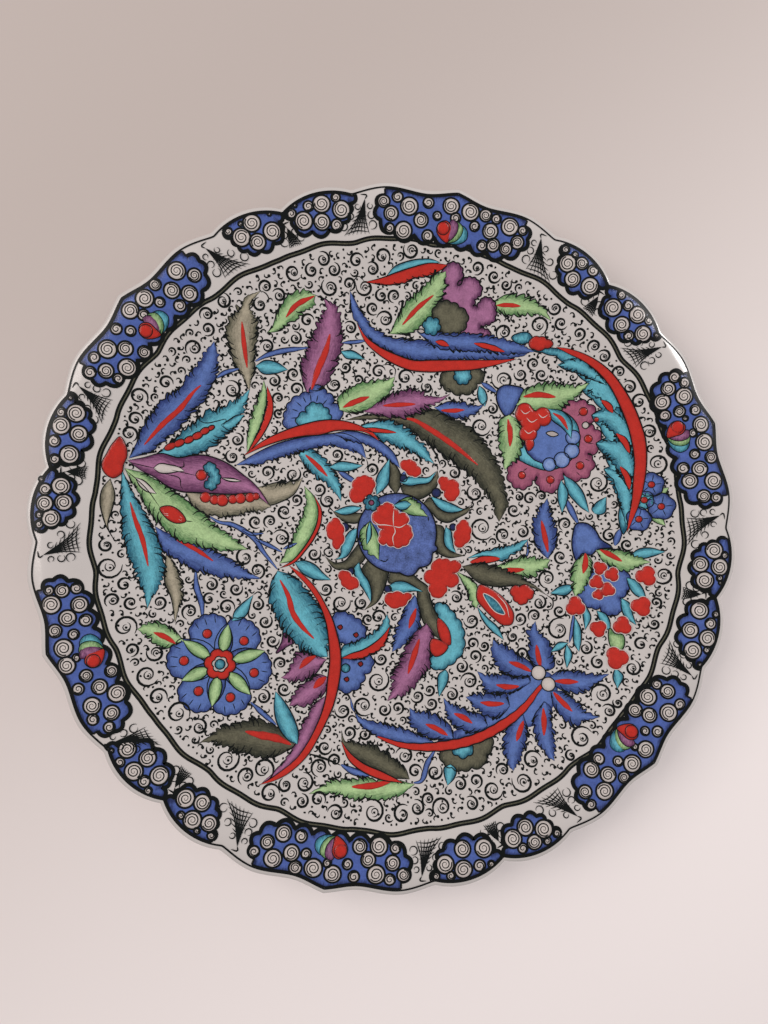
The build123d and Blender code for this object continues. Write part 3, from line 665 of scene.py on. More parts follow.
# ---------------------------------------------------------------- leaves at the bottom
G = "bottom"
band(G, "blue", [(-2.3, -99.5), (3, -101.2), (10.4, -101.9)], 2.6, level=0)
ink([(-17, -97.3), (-8, -98.5), (-2.3, -99.8)], 1.0)
leaf(G, "green", (30, -101.9), [(24.2, -107.1), (15.6, -110), (4, -111.4), (-7.5, -111.4)], (-13.4, -112.6),
     [(24.2, -101.9), (12.7, -103.2), (1.2, -104.6), (-5.8, -107.1)], depth=1.2, rib=([(19.8, -102.6), (12.7, -105.4),
     (3.8, -107.3)], 2.6))
leaf(G, "olive", (27.4, -100.4), [(18.5, -101), (9.8, -98.6), (2.9, -96), (-2.3, -93)], (-4.8, -85.8),
     [(26, -97.7), (21.4, -94.6), (15, -91.7), (8.7, -90), (2.3, -89.7), (-2.3, -90)], teeth="r", level=1, depth=1.2)
leaf(G, "red", (25, -102.2), [(15.6, -102.6), (8.1, -101), (1, -97.5)], (-4.2, -90), [(15.6, -99.4), (6.9, -97.4),
     (0.6, -94.2)], teeth="", level=2)

# ---------------------------------------------------------------- palmette with its red spine
G = "palmette"
blob(G, "blue", [(66, -51), (73, -46), (80, -46), (84, -52), (83, -60), (78, -68), (71, -71), (64, -71), (57, -75),
     (50, -79), (40, -82.6), (36, -84.2), (42, -78.6), (52, -72), (58, -66), (62, -60)], level=0, line=0)
for tail, left, tip, right, rib in (
        ((37, -84.5), [(31.7, -82.7), (24.2, -81.5), (18.5, -80.4), (12.7, -80.4), (6.9, -80.4), (1, -78.7),
         (-2.2, -76)], (-3.8, -71.4), [(34.6, -85.4), (27.1, -86.4), (18.5, -86.8), (9.8, -85.4), (4, -83.1)], None),
        ((43.5, -81.2), [(41.9, -77.1), (35.8, -73.5), (30, -72.3), (25.6, -73)], (22.3, -71.5), [(40.4, -81.8),
         (32.9, -82.5), (27.1, -80.2), (23.7, -76.7)], [(30.4, -77.1), (35, -78), (40.6, -80)]),
        ((57, -73), [(54.6, -69.4), (49.4, -68.8), (45.4, -68.3), (40.2, -67.1)], (36, -64.8), [(54, -75.8),
         (47.7, -76.7), (41.9, -74.4), (38.5, -70.4)], [(41.7, -70.5), (46, -71.4), (50.2, -73.1)]),
        ((65, -63), [(62.7, -58.5), (55.8, -59.6), (50, -61.1)], (45.4, -62.7), [(61, -68.7), (54, -68.1),
         (49.4, -65.2)], [(52.1, -63.8), (57, -63.6), (62.3, -62.4)]),
        ((72, -51.5), [(71.9, -49.8), (65, -50.4), (59.8, -50.7), (53.5, -52.1)], (48.4, -51), [(67.3, -55.6),
         (61, -58.3), (54, -58.3), (51.5, -55.4)], [(57.6, -55.2), (62.4, -55.2), (67.5, -54)]),
        ((73, -46.5), [(72.5, -44.6), (68.5, -42.3), (63.9, -40.6), (58.1, -38.3)], (52.7, -36.3), [(71.9, -48.5),
         (65.6, -50.3), (61, -49.6), (56.7, -46.7), (53.3, -41.5)], [(61.3, -44.5), (67.3, -45.4), (71.6, -46.8)]),
        ((76, -46), [(80.8, -43.1), (79.6, -38.5), (78.5, -36.4), (75.6, -31.7), (71.6, -29.4)], (69.6, -25),
         [(71.7, -43.7), (68.8, -38.5), (69.4, -35.8), (67.7, -31.2)], [(71.9, -35), (73.4, -39.4), (75.4, -44.4)]),
        ((79, -48), [(82.9, -50.8), (88.1, -51.9), (92.7, -51.4), (97.3, -48.5), (100.8, -44.8)], (104, -41.1),
         [(84, -44), (89.8, -43.2), (97.3, -43.2)], [(82.1, -48.8), (87, -48), (92, -47.1)]),
        ((81, -53), [(82.9, -58.3), (85.8, -61.7), (89.8, -64.1), (92.1, -65.2), (95, -63.5)], (102.4, -59.6),
         [(86.9, -52.7), (91.5, -55), (95.6, -57.9), (98.5, -59.4)], [(82.3, -53.5), (86.4, -56.7), (91.2, -59.8)]),
        ((79, -58), [(76, -66), (77.7, -72.7), (80, -76.7), (82.9, -79.6)], (86.4, -81.3), [(81.9, -59.8),
         (83.1, -65), (84.8, -70.8), (85.4, -76.5)], [(79.1, -61), (80.2, -66.4), (80.9, -72.1)]),
        ((71, -65), [(66, -70.8), (64.8, -75.4), (65.4, -81.2), (67.1, -85.8)], (70.2, -88.8), [(73.9, -71.9),
         (73.3, -78.9), (71.6, -84)], [(71.6, -67.9), (70.8, -72), (69.9, -76.7)])):
    leaf(G, "blue", tail, left, tip, right, level=1, pitch=3.2, rib=(rib, 2.3) if rib else None)
lobes(G, "olive", [(38.5, -87.5), (40.6, -91.3), (44.6, -92.5), (48.8, -92.9), (52.7, -91), (57.3, -89.1),
      (58.2, -84.8), (60, -81.2), (58.9, -76.9), (54.6, -79.4), (46.5, -84)], 0.14, level=0)
lobes(G, "turquoise", [(43.5, -85.4), (46.3, -87.3), (50.4, -86.6), (52.2, -83.6), (50.4, -82), (46, -83.1)], 0.2,
      level=1)
leaf(G, "turquoise", (43.7, -91.3), [(41.2, -93.2), (42, -96.6)], (43.7, -99.9), [(46.5, -93), (46.2, -96.4)], teeth="")
band(G, "red", [(11, -85.8), (21.4, -87.4), (30, -86.8), (38.7, -84.8), (49.4, -80.8), (56.4, -76.7), (62.1, -72.1),
     (67.9, -66.4), (72.5, -60), (75.6, -54), (79.4, -48)], 4.0, level=4, line=0.5)
dot(G, "white", 79.6, -50.6, 3.0, level=5)
dot(G, "white", 74.7, -46.6, 3.1, level=6)


# ---------------------------------------------------------------- under the centre
G = "under_centre"
leaf(G, "blue", (15.4, -23.5), [(12.5, -29.4), (11.4, -35.8), (10.2, -41.6)], (10.4, -49.4), [(17.5, -26.5),
     (19.2, -31.7), (20, -35.8), (18.3, -40), (16.4, -43), (13.5, -46.9)], level=0,
     rib=([(17, -29.2), (16.4, -33.4), (15.6, -38.2)], 2.3))
lobes(G, "turquoise", [(24.8, -26), (28, -24.9), (31.6, -27), (35, -30), (38.3, -33.4), (39.8, -38), (40.6, -42.6),
      (38.6, -47.3), (35.4, -50.8), (31.7, -53.3), (28.3, -52.9), (27.4, -48.3), (31, -44), (31, -36), (27, -30)],
      0.12, level=0)
blob(G, "red", [(27.5, -31.5), (30.6, -33.3), (33.8, -37.6), (34.4, -42.1), (31.4, -41.4), (29, -38.7)], level=3,
     dome=0.2)
blob(G, "red", [(26.3, -40.8), (30, -40.8), (33.8, -42.6), (32.5, -46), (29, -48), (26.6, -46)], level=3, dome=0.2)
leaf(G, "purple", (22.7, -34.6), [(19, -39), (16.5, -44.8), (14.8, -51.7), (12.7, -58), (13.6, -63.9)],
     (12.3, -70.4), [(26.4, -38.5), (27, -46.5), (27, -52.3), (25, -58.1), (21.6, -63.9), (17.5, -67)], level=2,
     rib=([(20.9, -41.9), (20.1, -48.3), (18.9, -57.4)], 2.5), depth=1.2)
leaf(G, "turquoise", (34.6, -52.7), [(32.1, -55.2), (32.4, -59.8)], (34, -64.8), [(36, -54), (36.6, -57.5),
     (35.4, -61.5)], teeth="")

# ---------------------------------------------------------------- the top
G = "top"
leaf(G, "turquoise", (-23.3, 108.1), [(-20.8, 112.5), (-16.2, 115.6), (-10.4, 117.9), (-5.8, 118.8)],
     (-1.8, 118.3), [(-18.5, 110.4), (-12.7, 113.8), (-7.5, 116.1)], teeth="")
leaf(G, "red", (-31.6, 104), [(-24.8, 107.3), (-19, 110.8), (-12.7, 114.2), (-6.3, 117.1)], (1.4, 118),
     [(-21.9, 104.9), (-16.2, 106.9), (-10.4, 110.4), (-4.6, 112.7), (-1.1, 115)], teeth="r", depth=0.5, level=1)
ink([(-31.6, 104), (-35, 105.6), (-36.6, 103), (-37.2, 98.5)], 0.4)
lobes(G, "purple", [(1.2, 117.5), (2.6, 118.9), (4.8, 119.3), (7, 118.4), (8.4, 116.4), (8.7, 113.8), (7.7, 110.9),
      (9.4, 113.3), (11, 114.7), (13, 114.9), (15.2, 114.6), (16.9, 112.9), (18.3, 110.3), (17.2, 108), (16, 106.7),
      (16, 104), (18.2, 103.8), (18.8, 106.3), (19.6, 108), (21.6, 108.4), (23.8, 107.9), (25.4, 106.1), (26, 104),
      (26.5, 101.6), (25.5, 98.8), (23.4, 97.7), (21, 97), (21, 95.4), (23.4, 95.5), (25.4, 95.2), (26.1, 93.4),
      (24.2, 92), (18.5, 91), (10.4, 90.4), (12.7, 96.2), (10.4, 101.9), (2.9, 103.7), (2.6, 110.6)], 0.2, level=0,
      line=0.55)
leaf(G, "green", (-16.9, 85.4), [(-15.2, 92.7), (-12.9, 99), (-9.4, 103.6), (-6, 108.8), (-3.1, 112.9)],
     (1.4, 115.4), [(-9, 87.3), (-4.4, 92), (-0.9, 96.7), (1.4, 102.5), (2.4, 108.8)], pitch=3.6, depth=1.2, level=1,
     rib=([(-12.3, 90.2), (-6.9, 99), (-1.7, 105)], 2.0))
lobes(G, "olive", [(0.4, 100.8), (2.7, 103.2), (6.5, 103.4), (10.4, 102.1), (14, 100.6), (14.8, 96.7), (13.4, 92.7),
      (8.7, 90.4), (5.2, 91), (2.3, 95), (-0.4, 97.2)], 0.16, level=2)
flower(G, "turquoise", 0.3, 92.3, 4.2, 6, 0.25, level=3)
blob(G, "white", [(-5.4, 89.2), (-3.8, 90.3), (-2.2, 89.3), (-3.6, 88.3)], level=4)
leaf(G, "green", (23.5, 106.8), [(28.9, 110.8), (35.8, 111.6), (40.5, 110.8), (46.5, 108.5)], (50.4, 104),
     [(26, 104.4), (31.2, 103.2), (37.5, 104.6), (45.4, 105.8)], rib=([(25.9, 106.2), (31, 107.2), (36.2, 107.7)], 1.9),
     depth=1.2)
leaf(G, "blue", (-37.2, 99), [(-33, 94.4), (-28.8, 89.6), (-23, 85.6), (-16.2, 84), (-9, 84.8), (-1.7, 85.4),
     (6, 86), (16, 88), (28, 90)], (46.5, 91), [(-35.7, 92.5), (-31.9, 87.3), (-26.7, 82.1), (-20.2, 79.2),
     (-12.7, 77.5), (-4.6, 76.6), (4, 78.5), (12.7, 80.3), (21.4, 82.1), (30, 83.8), (38, 85.6)], level=1, pitch=3.8)
leaf(G, "blue", (-5.7, 88.8), [(-1.7, 89.4), (4, 90.2), (10.4, 91.2), (17.3, 92.2), (24.2, 92.8), (32, 93),
     (39, 92.6)], (46.6, 90.3), [(-1, 86.3), (4, 84.2), (10, 84.2), (20, 85.8), (30, 87), (38, 88)], level=2, pitch=3.4)
leaf(G, "red", (-32, 87), [(-26.5, 81.9), (-20.2, 79), (-12.7, 77.3), (-4.6, 76.4), (4, 78.3), (12.7, 80.1),
     (21.4, 81.9), (30, 83.6)], (39.8, 86), [(-26, 79.2), (-20.2, 75.8), (-13.3, 73.2), (-4.6, 71.8), (2.9, 72.7),
     (12.7, 75.2), (21.4, 77.5), (30, 81)], teeth="", level=3, line=0.5)
band(G, "red", [(3.3, 86.3), (6.4, 86.2), (9.4, 85.6)], 2.4, level=3)
band(G, "red", [(20, 88.9), (27, 88.6), (33.7, 87.9)], 2.4, level=3)
lobes(G, "olive", [(8.5, 71.5), (10.2, 68.3), (14.6, 66.4), (19.4, 66.5), (23.7, 68.8), (24.8, 72), (27.3, 75.4),
      (26, 78), (18.5, 76.5), (9.8, 74.2)], 0.16, level=0)
flower(G, "turquoise", 17.9, 74.2, 4.2, 7, 0.2, level=1)
leaf(G, "turquoise", (25.8, 71.5), [(25.8, 67.9), (27.5, 64.4)], (30.2, 63), [(28.5, 70.2), (30.5, 66.7)], teeth="")
blob(G, "turquoise", [(35.4, 94.2), (38.6, 97), (42.5, 97.5), (44.4, 95.6), (41.4, 92.7), (37, 92.9)], level=3)
lobes(G, "red", [(43.5, 92.7), (44.2, 95.6), (47.1, 96.6), (50.4, 96.2), (53.6, 94.8), (50.6, 92.5), (46, 91.3)],
      0.12, level=4, dome=0.2)

# ---------------------------------------------------------------- the long red arc on the right
G = "right_arc"
lobes(G, "turquoise", [(45, 90.8), (50, 90.6), (56, 90.3), (60.4, 87.9), (58, 86.4), (66, 84.8), (71.5, 81.6),
      (69.6, 78.4), (75.6, 74.9), (80.4, 71.4), (76.6, 68), (81.4, 63.5), (84.8, 59.5), (81, 56.4), (86, 52),
      (88.9, 47.5), (86.6, 46), (91.6, 42.4), (94.2, 37.4), (96.5, 31), (97.6, 24), (100.2, 19.4), (101.6, 26),
      (101.4, 36), (99.6, 46), (97.6, 54.6), (94.4, 62.6), (89.4, 71.4), (84, 78.6), (77, 85.4), (67.6, 90.8),
      (58, 93.2)], 0.04, level=1)
for tail, left, tip, right in (
        ((100.8, 23), [(96, 33), (91.5, 40.5)], (86.4, 46.4), [(100.6, 36), (97.4, 45)]),
        ((100.2, 37), [(93, 46), (87, 52.5)], (80.8, 56.8), [(98.8, 50.4), (93.7, 59)]),
        ((97.8, 53), [(90.5, 60), (83.5, 65)], (76.2, 68.2), [(93.8, 65), (86.7, 72.4)]),
        ((90.7, 68), [(83, 73), (76, 76.8)], (69, 78.8), [(84.7, 78), (77, 84.6)]),
        ((80, 81.6), [(72, 83.4), (65, 85.4)], (57.4, 86.6), [(73, 87.4), (64, 90.6)])):
    leaf(G, "turquoise", tail, left, tip, right, level=1 + 0.01 * (100 - tail[0]), pitch=3.4, depth=1.2)
for p in ([(79.2, 75), (82.4, 73.2), (85, 70.6)], [(88.5, 62.1), (92.4, 59.4), (95.5, 54.9)],
          [(93.1, 48.3), (96.6, 44.6), (98.9, 39.4)]):
    band(G, "red", p, 2.6, level=3)
leaf(G, "red", (55, 93.8), [(59.8, 94), (67.3, 93), (75.4, 90.1), (81.2, 86.6), (86.9, 81.4), (92.1, 75.6),
     (96.9, 68.6), (100.4, 62.1), (102.7, 54.6), (103.9, 47.1), (104.2, 38.5), (103.9, 33.5), (102.7, 26.5)],
     (101.4, 20.6), [(61, 91.9), (67.3, 90.1), (75.4, 86), (81, 81.4), (86.6, 74.6), (91.2, 67.8), (95.3, 59.8),
     (98.2, 51.7), (99.4, 44.2), (100.8, 33.5), (101, 26.5)], teeth="", level=4, line=0.5)
band(G, "blue", [(98.6, 21.6), (98, 17.6), (97.6, 14)], 3.0, level=0)

# ---------------------------------------------------------------- lotus
G = "lotus"
lobes(G, "pink", [(64.4, 70.2), (69, 72.6), (74.2, 72.3), (78, 69.2), (77.6, 65.2), (75.4, 63.8), (79.2, 62.3),
      (82.6, 59.3), (82.6, 54.6), (78.2, 51.4), (81, 49.4), (81.2, 44.2), (77.9, 40.3), (73.6, 39.2), (69.8, 41.3),
      (69.3, 37.5), (68, 33.3), (64.4, 31.6), (60.4, 33.3), (58.6, 37.6), (56.8, 35.2), (55.2, 32.1), (51.7, 30.8),
      (48.1, 32.4), (45.8, 36.3), (46.9, 40.2), (48.8, 44.8), (54, 50), (60, 60)], 0.2, level=0)
for x, y, r in ((72.8, 69, 1.8), (77.4, 57.8, 1.7), (76.3, 45.7, 1.7), (51.9, 36.6, 1.6), (64.7, 37.1, 1.7),
                (79, 66.6, 1.0)):
    dot(G, "red", x, y, r, level=1, dome=0.3)
for a in range(-60, 330, 24):
    x, y = 63.5 + 14.6 * math.cos(math.radians(a)), 52.4 + 16.4 * math.sin(math.radians(a))
    ink([(x, y), (x + 2.4 * math.cos(math.radians(a)), y + 2.4 * math.sin(math.radians(a)))], 0.35, 0)
dot(G, "white", 75, 63.4, 1.5, level=1)
blob(G, "turquoise", [(48, 46.4), (47.4, 43.8), (51, 42.4), (56, 41.2), (62, 40.8), (67.2, 42.8), (71.4, 46.6),
     (74, 52), (73.6, 58), (71.2, 63.4), (66, 67), (58, 68), (52, 66)], level=1)
dot(G, "blue", 60.2, 54.4, 11.0, level=2)
for x, y, r in ((70.8, 57.2, 3.2), (71.5, 51.3, 3.3), (68, 46.6, 3.5), (63, 43.6, 3.0)):
    dot(G, "paleblue", x, y, r, level=3)
leaf(G, "turquoise", (57.6, 67.4), [(63.6, 67.6), (68.4, 64.4)], (70.2, 56.6), [(60, 63.2), (65, 60.6)], teeth="",
     level=4, rib=([(60, 66), (64, 64.4), (68, 60)], 1.8))
for x, y, r, t in ((47.9, 63.6, 4.4, 0.2), (51.4, 60.6, 4.9, 1.0), (55.8, 63.4, 4.2, 0.6), (51.0, 55.4, 4.0, 0.3)):
    flower(G, "red", x, y, r, 3, 0.16, t, level=6, dome=0.5, line=0.35, spacing=1.0)
    ink([(x - r * 0.5, y + r * 0.2), (x, y - r * 0.1), (x + r * 0.5, y + r * 0.3)], 0.35, 15, colour="white")
blob(G, "red", [(50.4, 53.4), (53.6, 53), (54.6, 50.4), (52.7, 47.6), (50.8, 50.4)], level=5, dome=0.35)
blob(G, "white", [(58.8, 56.9), (61.4, 58.2), (64.4, 57.2), (61.8, 55.8)], level=4)
blob(G, "blue", [(34.4, 71.6), (36.7, 73.8), (40.8, 74.4), (45.3, 73.8), (44.8, 69.6), (43.7, 66.1), (42.5, 62.7),
     (40.5, 60.6), (36.5, 63.8), (34.2, 68.4)], level=2, line=0.6)
leaf(G, "green", (43.6, 66.4), [(46, 73.5), (50.6, 76.4), (58.1, 78.4), (65, 78.7)], (72.3, 81.3), [(52.3, 65.2),
     (59.8, 66.9), (64.6, 71.1), (68.7, 74.6)], level=3, rib=([(46, 70.5), (51.7, 72.5), (59.8, 73)], 2.6), depth=1.2)
leaf(G, "green", (41.4, 61.6), [(38.3, 59.8), (38.3, 54), (40, 47.7), (41.7, 42.5)], (43.9, 37.3), [(45.6, 59.8),
     (48.6, 54), (49.3, 48.3), (47.6, 42.5)], level=3, rib=([(41.2, 59.6), (43.4, 53.5), (44.3, 47.9)], 2.4))
leaf(G, "blue", (70.2, 2.7), [(72.1, 7.5), (72.1, 12.7), (70.4, 17.3), (67.5, 22.5)], (65, 28.9), [(67.3, 4.4),
     (63.1, 8.6), (61.9, 12.7), (61.1, 17.9), (62.5, 23.1)], level=0, rib=([(64.2, 18.7), (67, 12), (69.6, 5.6)], 2.4))
leaf(G, "turquoise", (70, 40.2), [(75.6, 38.2), (79.6, 34.8), (82.5, 30)], (84.2, 26.1), [(73.1, 33.3), (77.1, 29.8),
     (80.6, 27.5)], teeth="", level=1)
leaf(G, "turquoise", (69.4, 37.9), [(73.3, 33.5), (73.6, 28.3)], (72.5, 23.8), [(68.8, 33.5), (69.8, 28.8)], teeth="",
     level=2)
band(G, "blue", [(72.5, 30.8), (76.4, 25.6), (80.6, 20.2)], 2.6, level=0)
leaf(G, "turquoise", (86.5, 26.2), [(85, 27.7), (86.2, 30.8)], (90.1, 34.4), [(88.7, 26), (91, 27.7), (90.7, 30.6)],
     teeth="")

# ---------------------------------------------------------------- bouquet on the right
G = "bouquet"
lobes(G, "blue", [(86, -8.7), (88.1, -12.3), (92.7, -14.6), (96.2, -13.6), (98.5, -15.8), (101.6, -15.8),
      (104.4, -14.2), (105, -10.4), (103.5, -8.1), (105.8, -4.6), (106, -0.6), (103.9, 3.7), (101.4, 4.8),
      (92.7, 4.8), (89.6, 0)], 0.16, level=1)
for tail, left, tip, right in (
        ((104.6, 1.3), [(106.4, -2.5), (109.2, -5.4)], (114.2, -6.7), [(108.5, 0.8), (111.9, -2.1)]),
        ((104, -7.9), [(104.6, -11.7), (106.4, -15.2)], (111.9, -18.3), [(107.9, -9.6), (109.6, -13.7)]),
        ((94.8, -15.4), [(97.1, -19.8), (99.4, -22.1)], (101.8, -22.9), [(98.7, -16), (101, -18.8)]),
        ((88.1, -12.3), [(89, -16.7), (90.2, -20.8)], (91.5, -24.6), [(90.6, -15), (92.9, -18.5)]),
        ((86.2, -20), [(86.7, -27.1), (87.9, -31.7)], (90.4, -34.4), [(89.4, -24.2), (90.6, -30)]),
        ((85.4, -31.5), [(82.3, -35.4)], (78.5, -36.8), [(81.2, -32.1)]),
        ((84.6, -32.1), [(84.4, -36.9)], (86.4, -42.5), [(87.7, -35.8)]),
        ((106, -37.9), [(105.6, -42)], (108, -46.4), [(109.6, -40.4)]),
        ((104, 10.4), [(109.6, 10.6), (113.7, 12.5)], (118, 15.3), [(107.7, 14.6), (111.7, 15.8)]),
        ((84, -6.7), [(81.2, -11.2)], (73.8, -11.9), [(80.6, -6.7), (77.7, -7.9)])):
    leaf(G, "turquoise", tail, left, tip, right, teeth="", level=2)
band(G, "blue", [(85.5, -18), (86, -24), (85.8, -31.4)], 1.6, level=0)
blob(G, "blue", [(79.8, 20.4), (84, 21.3), (88.1, 19.2), (91, 15.8), (96.4, 13.1), (90.6, 10.8), (88.3, 7.9),
     (84.6, 7.9), (82.9, 4.2), (79.8, 9.2), (78.9, 14.4)], level=3, line=0.6)
leaf(G, "green", (90, 10.6), [(92.7, 7.3), (98.5, 4.8), (104.2, 4.5), (108.9, 7.3)], (113, 9.8), [(95.6, 12),
     (101.4, 12.3), (106.6, 10.8)], level=4, rib=([(91.6, 11), (96, 9.8), (101.6, 7.8)], 2.3))
leaf(G, "green", (85.8, 8.5), [(82.7, 4.6), (81.5, -1.1), (82.7, -5.2)], (84.6, -11.6), [(88.9, 5.8), (89.7, 0),
     (88.3, -5.8)], level=4, rib=([(85.8, 8.3), (86.6, 4), (86.4, -0.6)], 2.6))
for x, y, r in ((93, 3.2, 3.0), (98.5, 1.4, 3.1), (92.7, -3.2, 3.1), (97.9, -5.5, 3.1), (112.3, 3.5, 4.3),
                (112.5, -9.8, 4.2), (85.6, -15.4, 4.2), (96.7, -22.9, 3.6), (106.2, -19.6, 3.9), (106, -33.7, 4.7),
                (94.2, -8.4, 2.4)):
    flower(G, "red", x, y, r * 1.08, 3, 0.34, rng.random() * 6, level=5, dome=0.3, line=0.35, line_colour="white")
blob(G, "green", [(101.7, -21.7), (104, -23.6), (106.8, -23.3), (107.6, -30), (105.4, -31.4), (102.9, -29.4)],
     level=3, dome=0.1)
for x, y, r, c in ((107.1, 42.9, 5.4, "blue"), (112.8, 34.3, 5.9, "blue"), (105.1, 27.2, 5.4, "blue"),
                   (105.6, 35.8, 4.2, "turquoise")):
    flower("bouquet", c, x, y, r, 5, 0.18, rng.random(), level=2)
    for k in range(5):
        a = 2 * math.pi * k / 5 + 0.3
        ink([(x + 1.4 * math.cos(a), y + 1.4 * math.sin(a)), (x + r * 0.8 * math.cos(a), y + r * 0.8 * math.sin(a))],
            0.35, 2)
    dot("bouquet", "red", x, y, 1.4, level=3, dome=0.2)
leaf(G, "green", (108.5, 38.3), [(111.4, 38.6), (113.4, 40)], (114.2, 42.9), [(109.8, 40.6), (111.6, 42.2)], teeth="",
     level=1)
leaf(G, "green", (107.4, 32.8), [(110, 28.2), (112.8, 26.8)], (116, 26.5), [(111.8, 32.4), (114.4, 29.6)], teeth="",
     level=1)

# ---------------------------------------------------------------- between the centre and the bouquet
G = "right_of_centre"
leaf(G, "turquoise", (34.8, -3.8), [(43.7, -1.4), (48.3, -2.3), (54, 1.5), (57.7, 5)], (60, 9.6), [(40.8, 0.4),
     (46.5, 2.7), (52.9, 5.6)], pitch=3.4)
band(G, "red", [(36.5, -5.2), (42.5, -3), (49, -1.2)], 3.2, level=2)
leaf(G, "green", (46.1, -5.8), [(59.8, -7.1), (65.8, -4.8), (69.8, -0.8)], (71.2, 2.7), [(51.7, -2.7), (58.1, 1),
     (65, 1.5)], level=1, rib=([(50.4, -5.8), (55.4, -5.2), (60.6, -3.8)], 2.4), depth=1.2)
leaf(G, "turquoise", (43.1, -23.5), [(46.3, -28.5), (51, -32.5)], (57.4, -35.6), [(48.5, -27.5), (54.2, -31)],
     teeth="", level=1)
leaf(G, "olive", (33.3, -7.6), [(41.9, -13.2), (49.4, -13.5), (58.1, -11.5), (65, -10.8)], (72.3, -12.9),
     [(40.8, -4.8), (49.4, -5.6), (58.1, -7.1), (65.6, -9.4)], teeth="r", level=2)
ink([(72.3, -12.9), (75.4, -14.4), (75.6, -18.5), (73, -19.4)], 0.6)
leaf(G, "green", (31, -10), [(37.7, -17.5), (41.2, -22.7)], (42.9, -24.3), [(41, -14.2), (43.9, -18.8)], level=1)
lobes(G, "red", [(56.4, -12.9), (59.8, -11.6), (65, -11.3), (66.6, -13.9), (64.6, -16.4), (63.1, -18.7),
      (60.2, -18.4), (57.9, -16.4)], 0.15, level=3, dome=0.25)
blob(G, "red", [(42.3, -14.2), (49.4, -15.4), (56.6, -20), (59.7, -24.2), (59.4, -28.3), (55.8, -29.3),
     (51.5, -27.3), (46.3, -23.9), (42.3, -20.2)], level=3, dome=0.25)
blob(G, "turquoise", [(44.6, -17.4), (49, -18.4), (53.4, -21.6), (55.6, -24.6), (52.4, -24.6), (47.6, -21.4)],
     level=9, line=0.35, line_colour="white")
ink([(50.4, -16.6), (55.4, -20.6), (57.8, -25.6)], 0.35, 10, colour="white")


# ---------------------------------------------------------------- the rim
RIM = hermite([(0, 150.0), (4.8, 146.8), (12.35, 148.9), (17.9, 146.1)], step=0.25)


def rim_r(angle):
    """Distance of the scalloped lip from the centre, for an angle clockwise from a point of the rim."""
    a = np.mod(np.asarray(angle, float) + 30, 60) - 30
    a = np.abs(a)
    low = np.interp(a, RIM[:, 0], RIM[:, 1])
    t = (a - 17.9) / 12.1
    high = 146.1 * (1 - t) + 143.8 * t + 15.4 * t * (1 - t)
    return np.where(a < 17.9, low, high)


def around(centre, points, mirror=1):
    """(angle, distance) points turned to a centre angle, and mirrored about it with mirror -1."""
    return [tuple(polar(centre + mirror * a, r)) for a, r in points]


def edge_line(centre, start, end, inset, mirror=1):
    """A line that follows the lip at a fixed inset between two angles."""
    a = np.linspace(start, end, max(3, int(abs(end - start) * 2)))
    return polar(centre + mirror * a, rim_r(centre + mirror * a) - inset)


def curl(group, x, y, r, turns, width, level, start, sense=1, shrink=0.9, taper="end", colour="ink"):
    """A spiral that winds inwards from radius r."""
    t = np.linspace(0, 1, max(8, int(turns * 14)))
    a = start + sense * 2 * np.pi * turns * t
    rr = r * (1 - shrink * t)
    ink(np.column_stack([x + rr * np.cos(a), y + rr * np.sin(a)]), width, level, taper=taper, smooth=False,
        group=group, colour=colour)


def disc(group, x, y, r, level):
    """A white pearl of the clouds with its black spiral."""
    patch(group, "white", circle(x, y, r, 22), level=level, line=0, spacing=1.6)
    ink(circle(x, y, r, 22), 0.85, level, taper="", smooth=False, closed=True, group=group)
    curl(group, x, y, r * 0.78, 2.4 if r > 2.4 else 1.6, 0.52, level, rng.random() * 6.28, rng.choice([-1, 1]), 0.92)


# Discs as (angle, distance, radius) and outlines as (angle, distance), about a point of the rim.
LARGE = [(-10.3, 141.7, 1.9), (-8.1, 139.1, 3.3), (-11.1, 134.6, 2.5), (-6.2, 133.7, 2.5), (-4.4, 140.6, 1.9),
         (-3.1, 136.0, 2.6), (-8.8, 129.2, 3.0), (-4.2, 129.0, 2.7), (-0.6, 141.2, 2.9), (2.5, 140.3, 3.3),
         (5.3, 141.3, 2.2), (4.1, 135.0, 1.7), (6.9, 135.6, 2.7), (9.6, 140.0, 3.4), (11.7, 135.2, 2.3),
         (8.8, 130.2, 2.7), (6.1, 129.1, 2.0), (0.2, 136.6, 1.9)]
PAIRED = [(20.0, 137.9, 3.9), (23.0, 141.4, 3.1), (23.3, 133.9, 2.8), (26.9, 135.8, 3.1), (25.4, 141.6, 2.0),
          (27.4, 142.6, 1.6), (20.9, 143.0, 1.6), (18.3, 142.3, 1.4)]
FLANK = [(12.3, 142.6), (13.6, 138.2), (13.1, 132.9), (10.9, 128.2), (7.4, 127.2), (4.0, 127.4), (0.6, 127.4),
         (-3.0, 127.4), (-6.8, 127.2), (-10.7, 127.9), (-13.2, 132.6), (-13.7, 138.0), (-12.3, 142.6)]
SIDE = [(29.8, 141.2), (28.3, 138.2), (28.7, 134.2), (25.9, 131.2), (22.7, 130.5), (20.1, 132.5), (18.8, 135.8),
        (18.5, 139.6), (17.4, 143.3)]


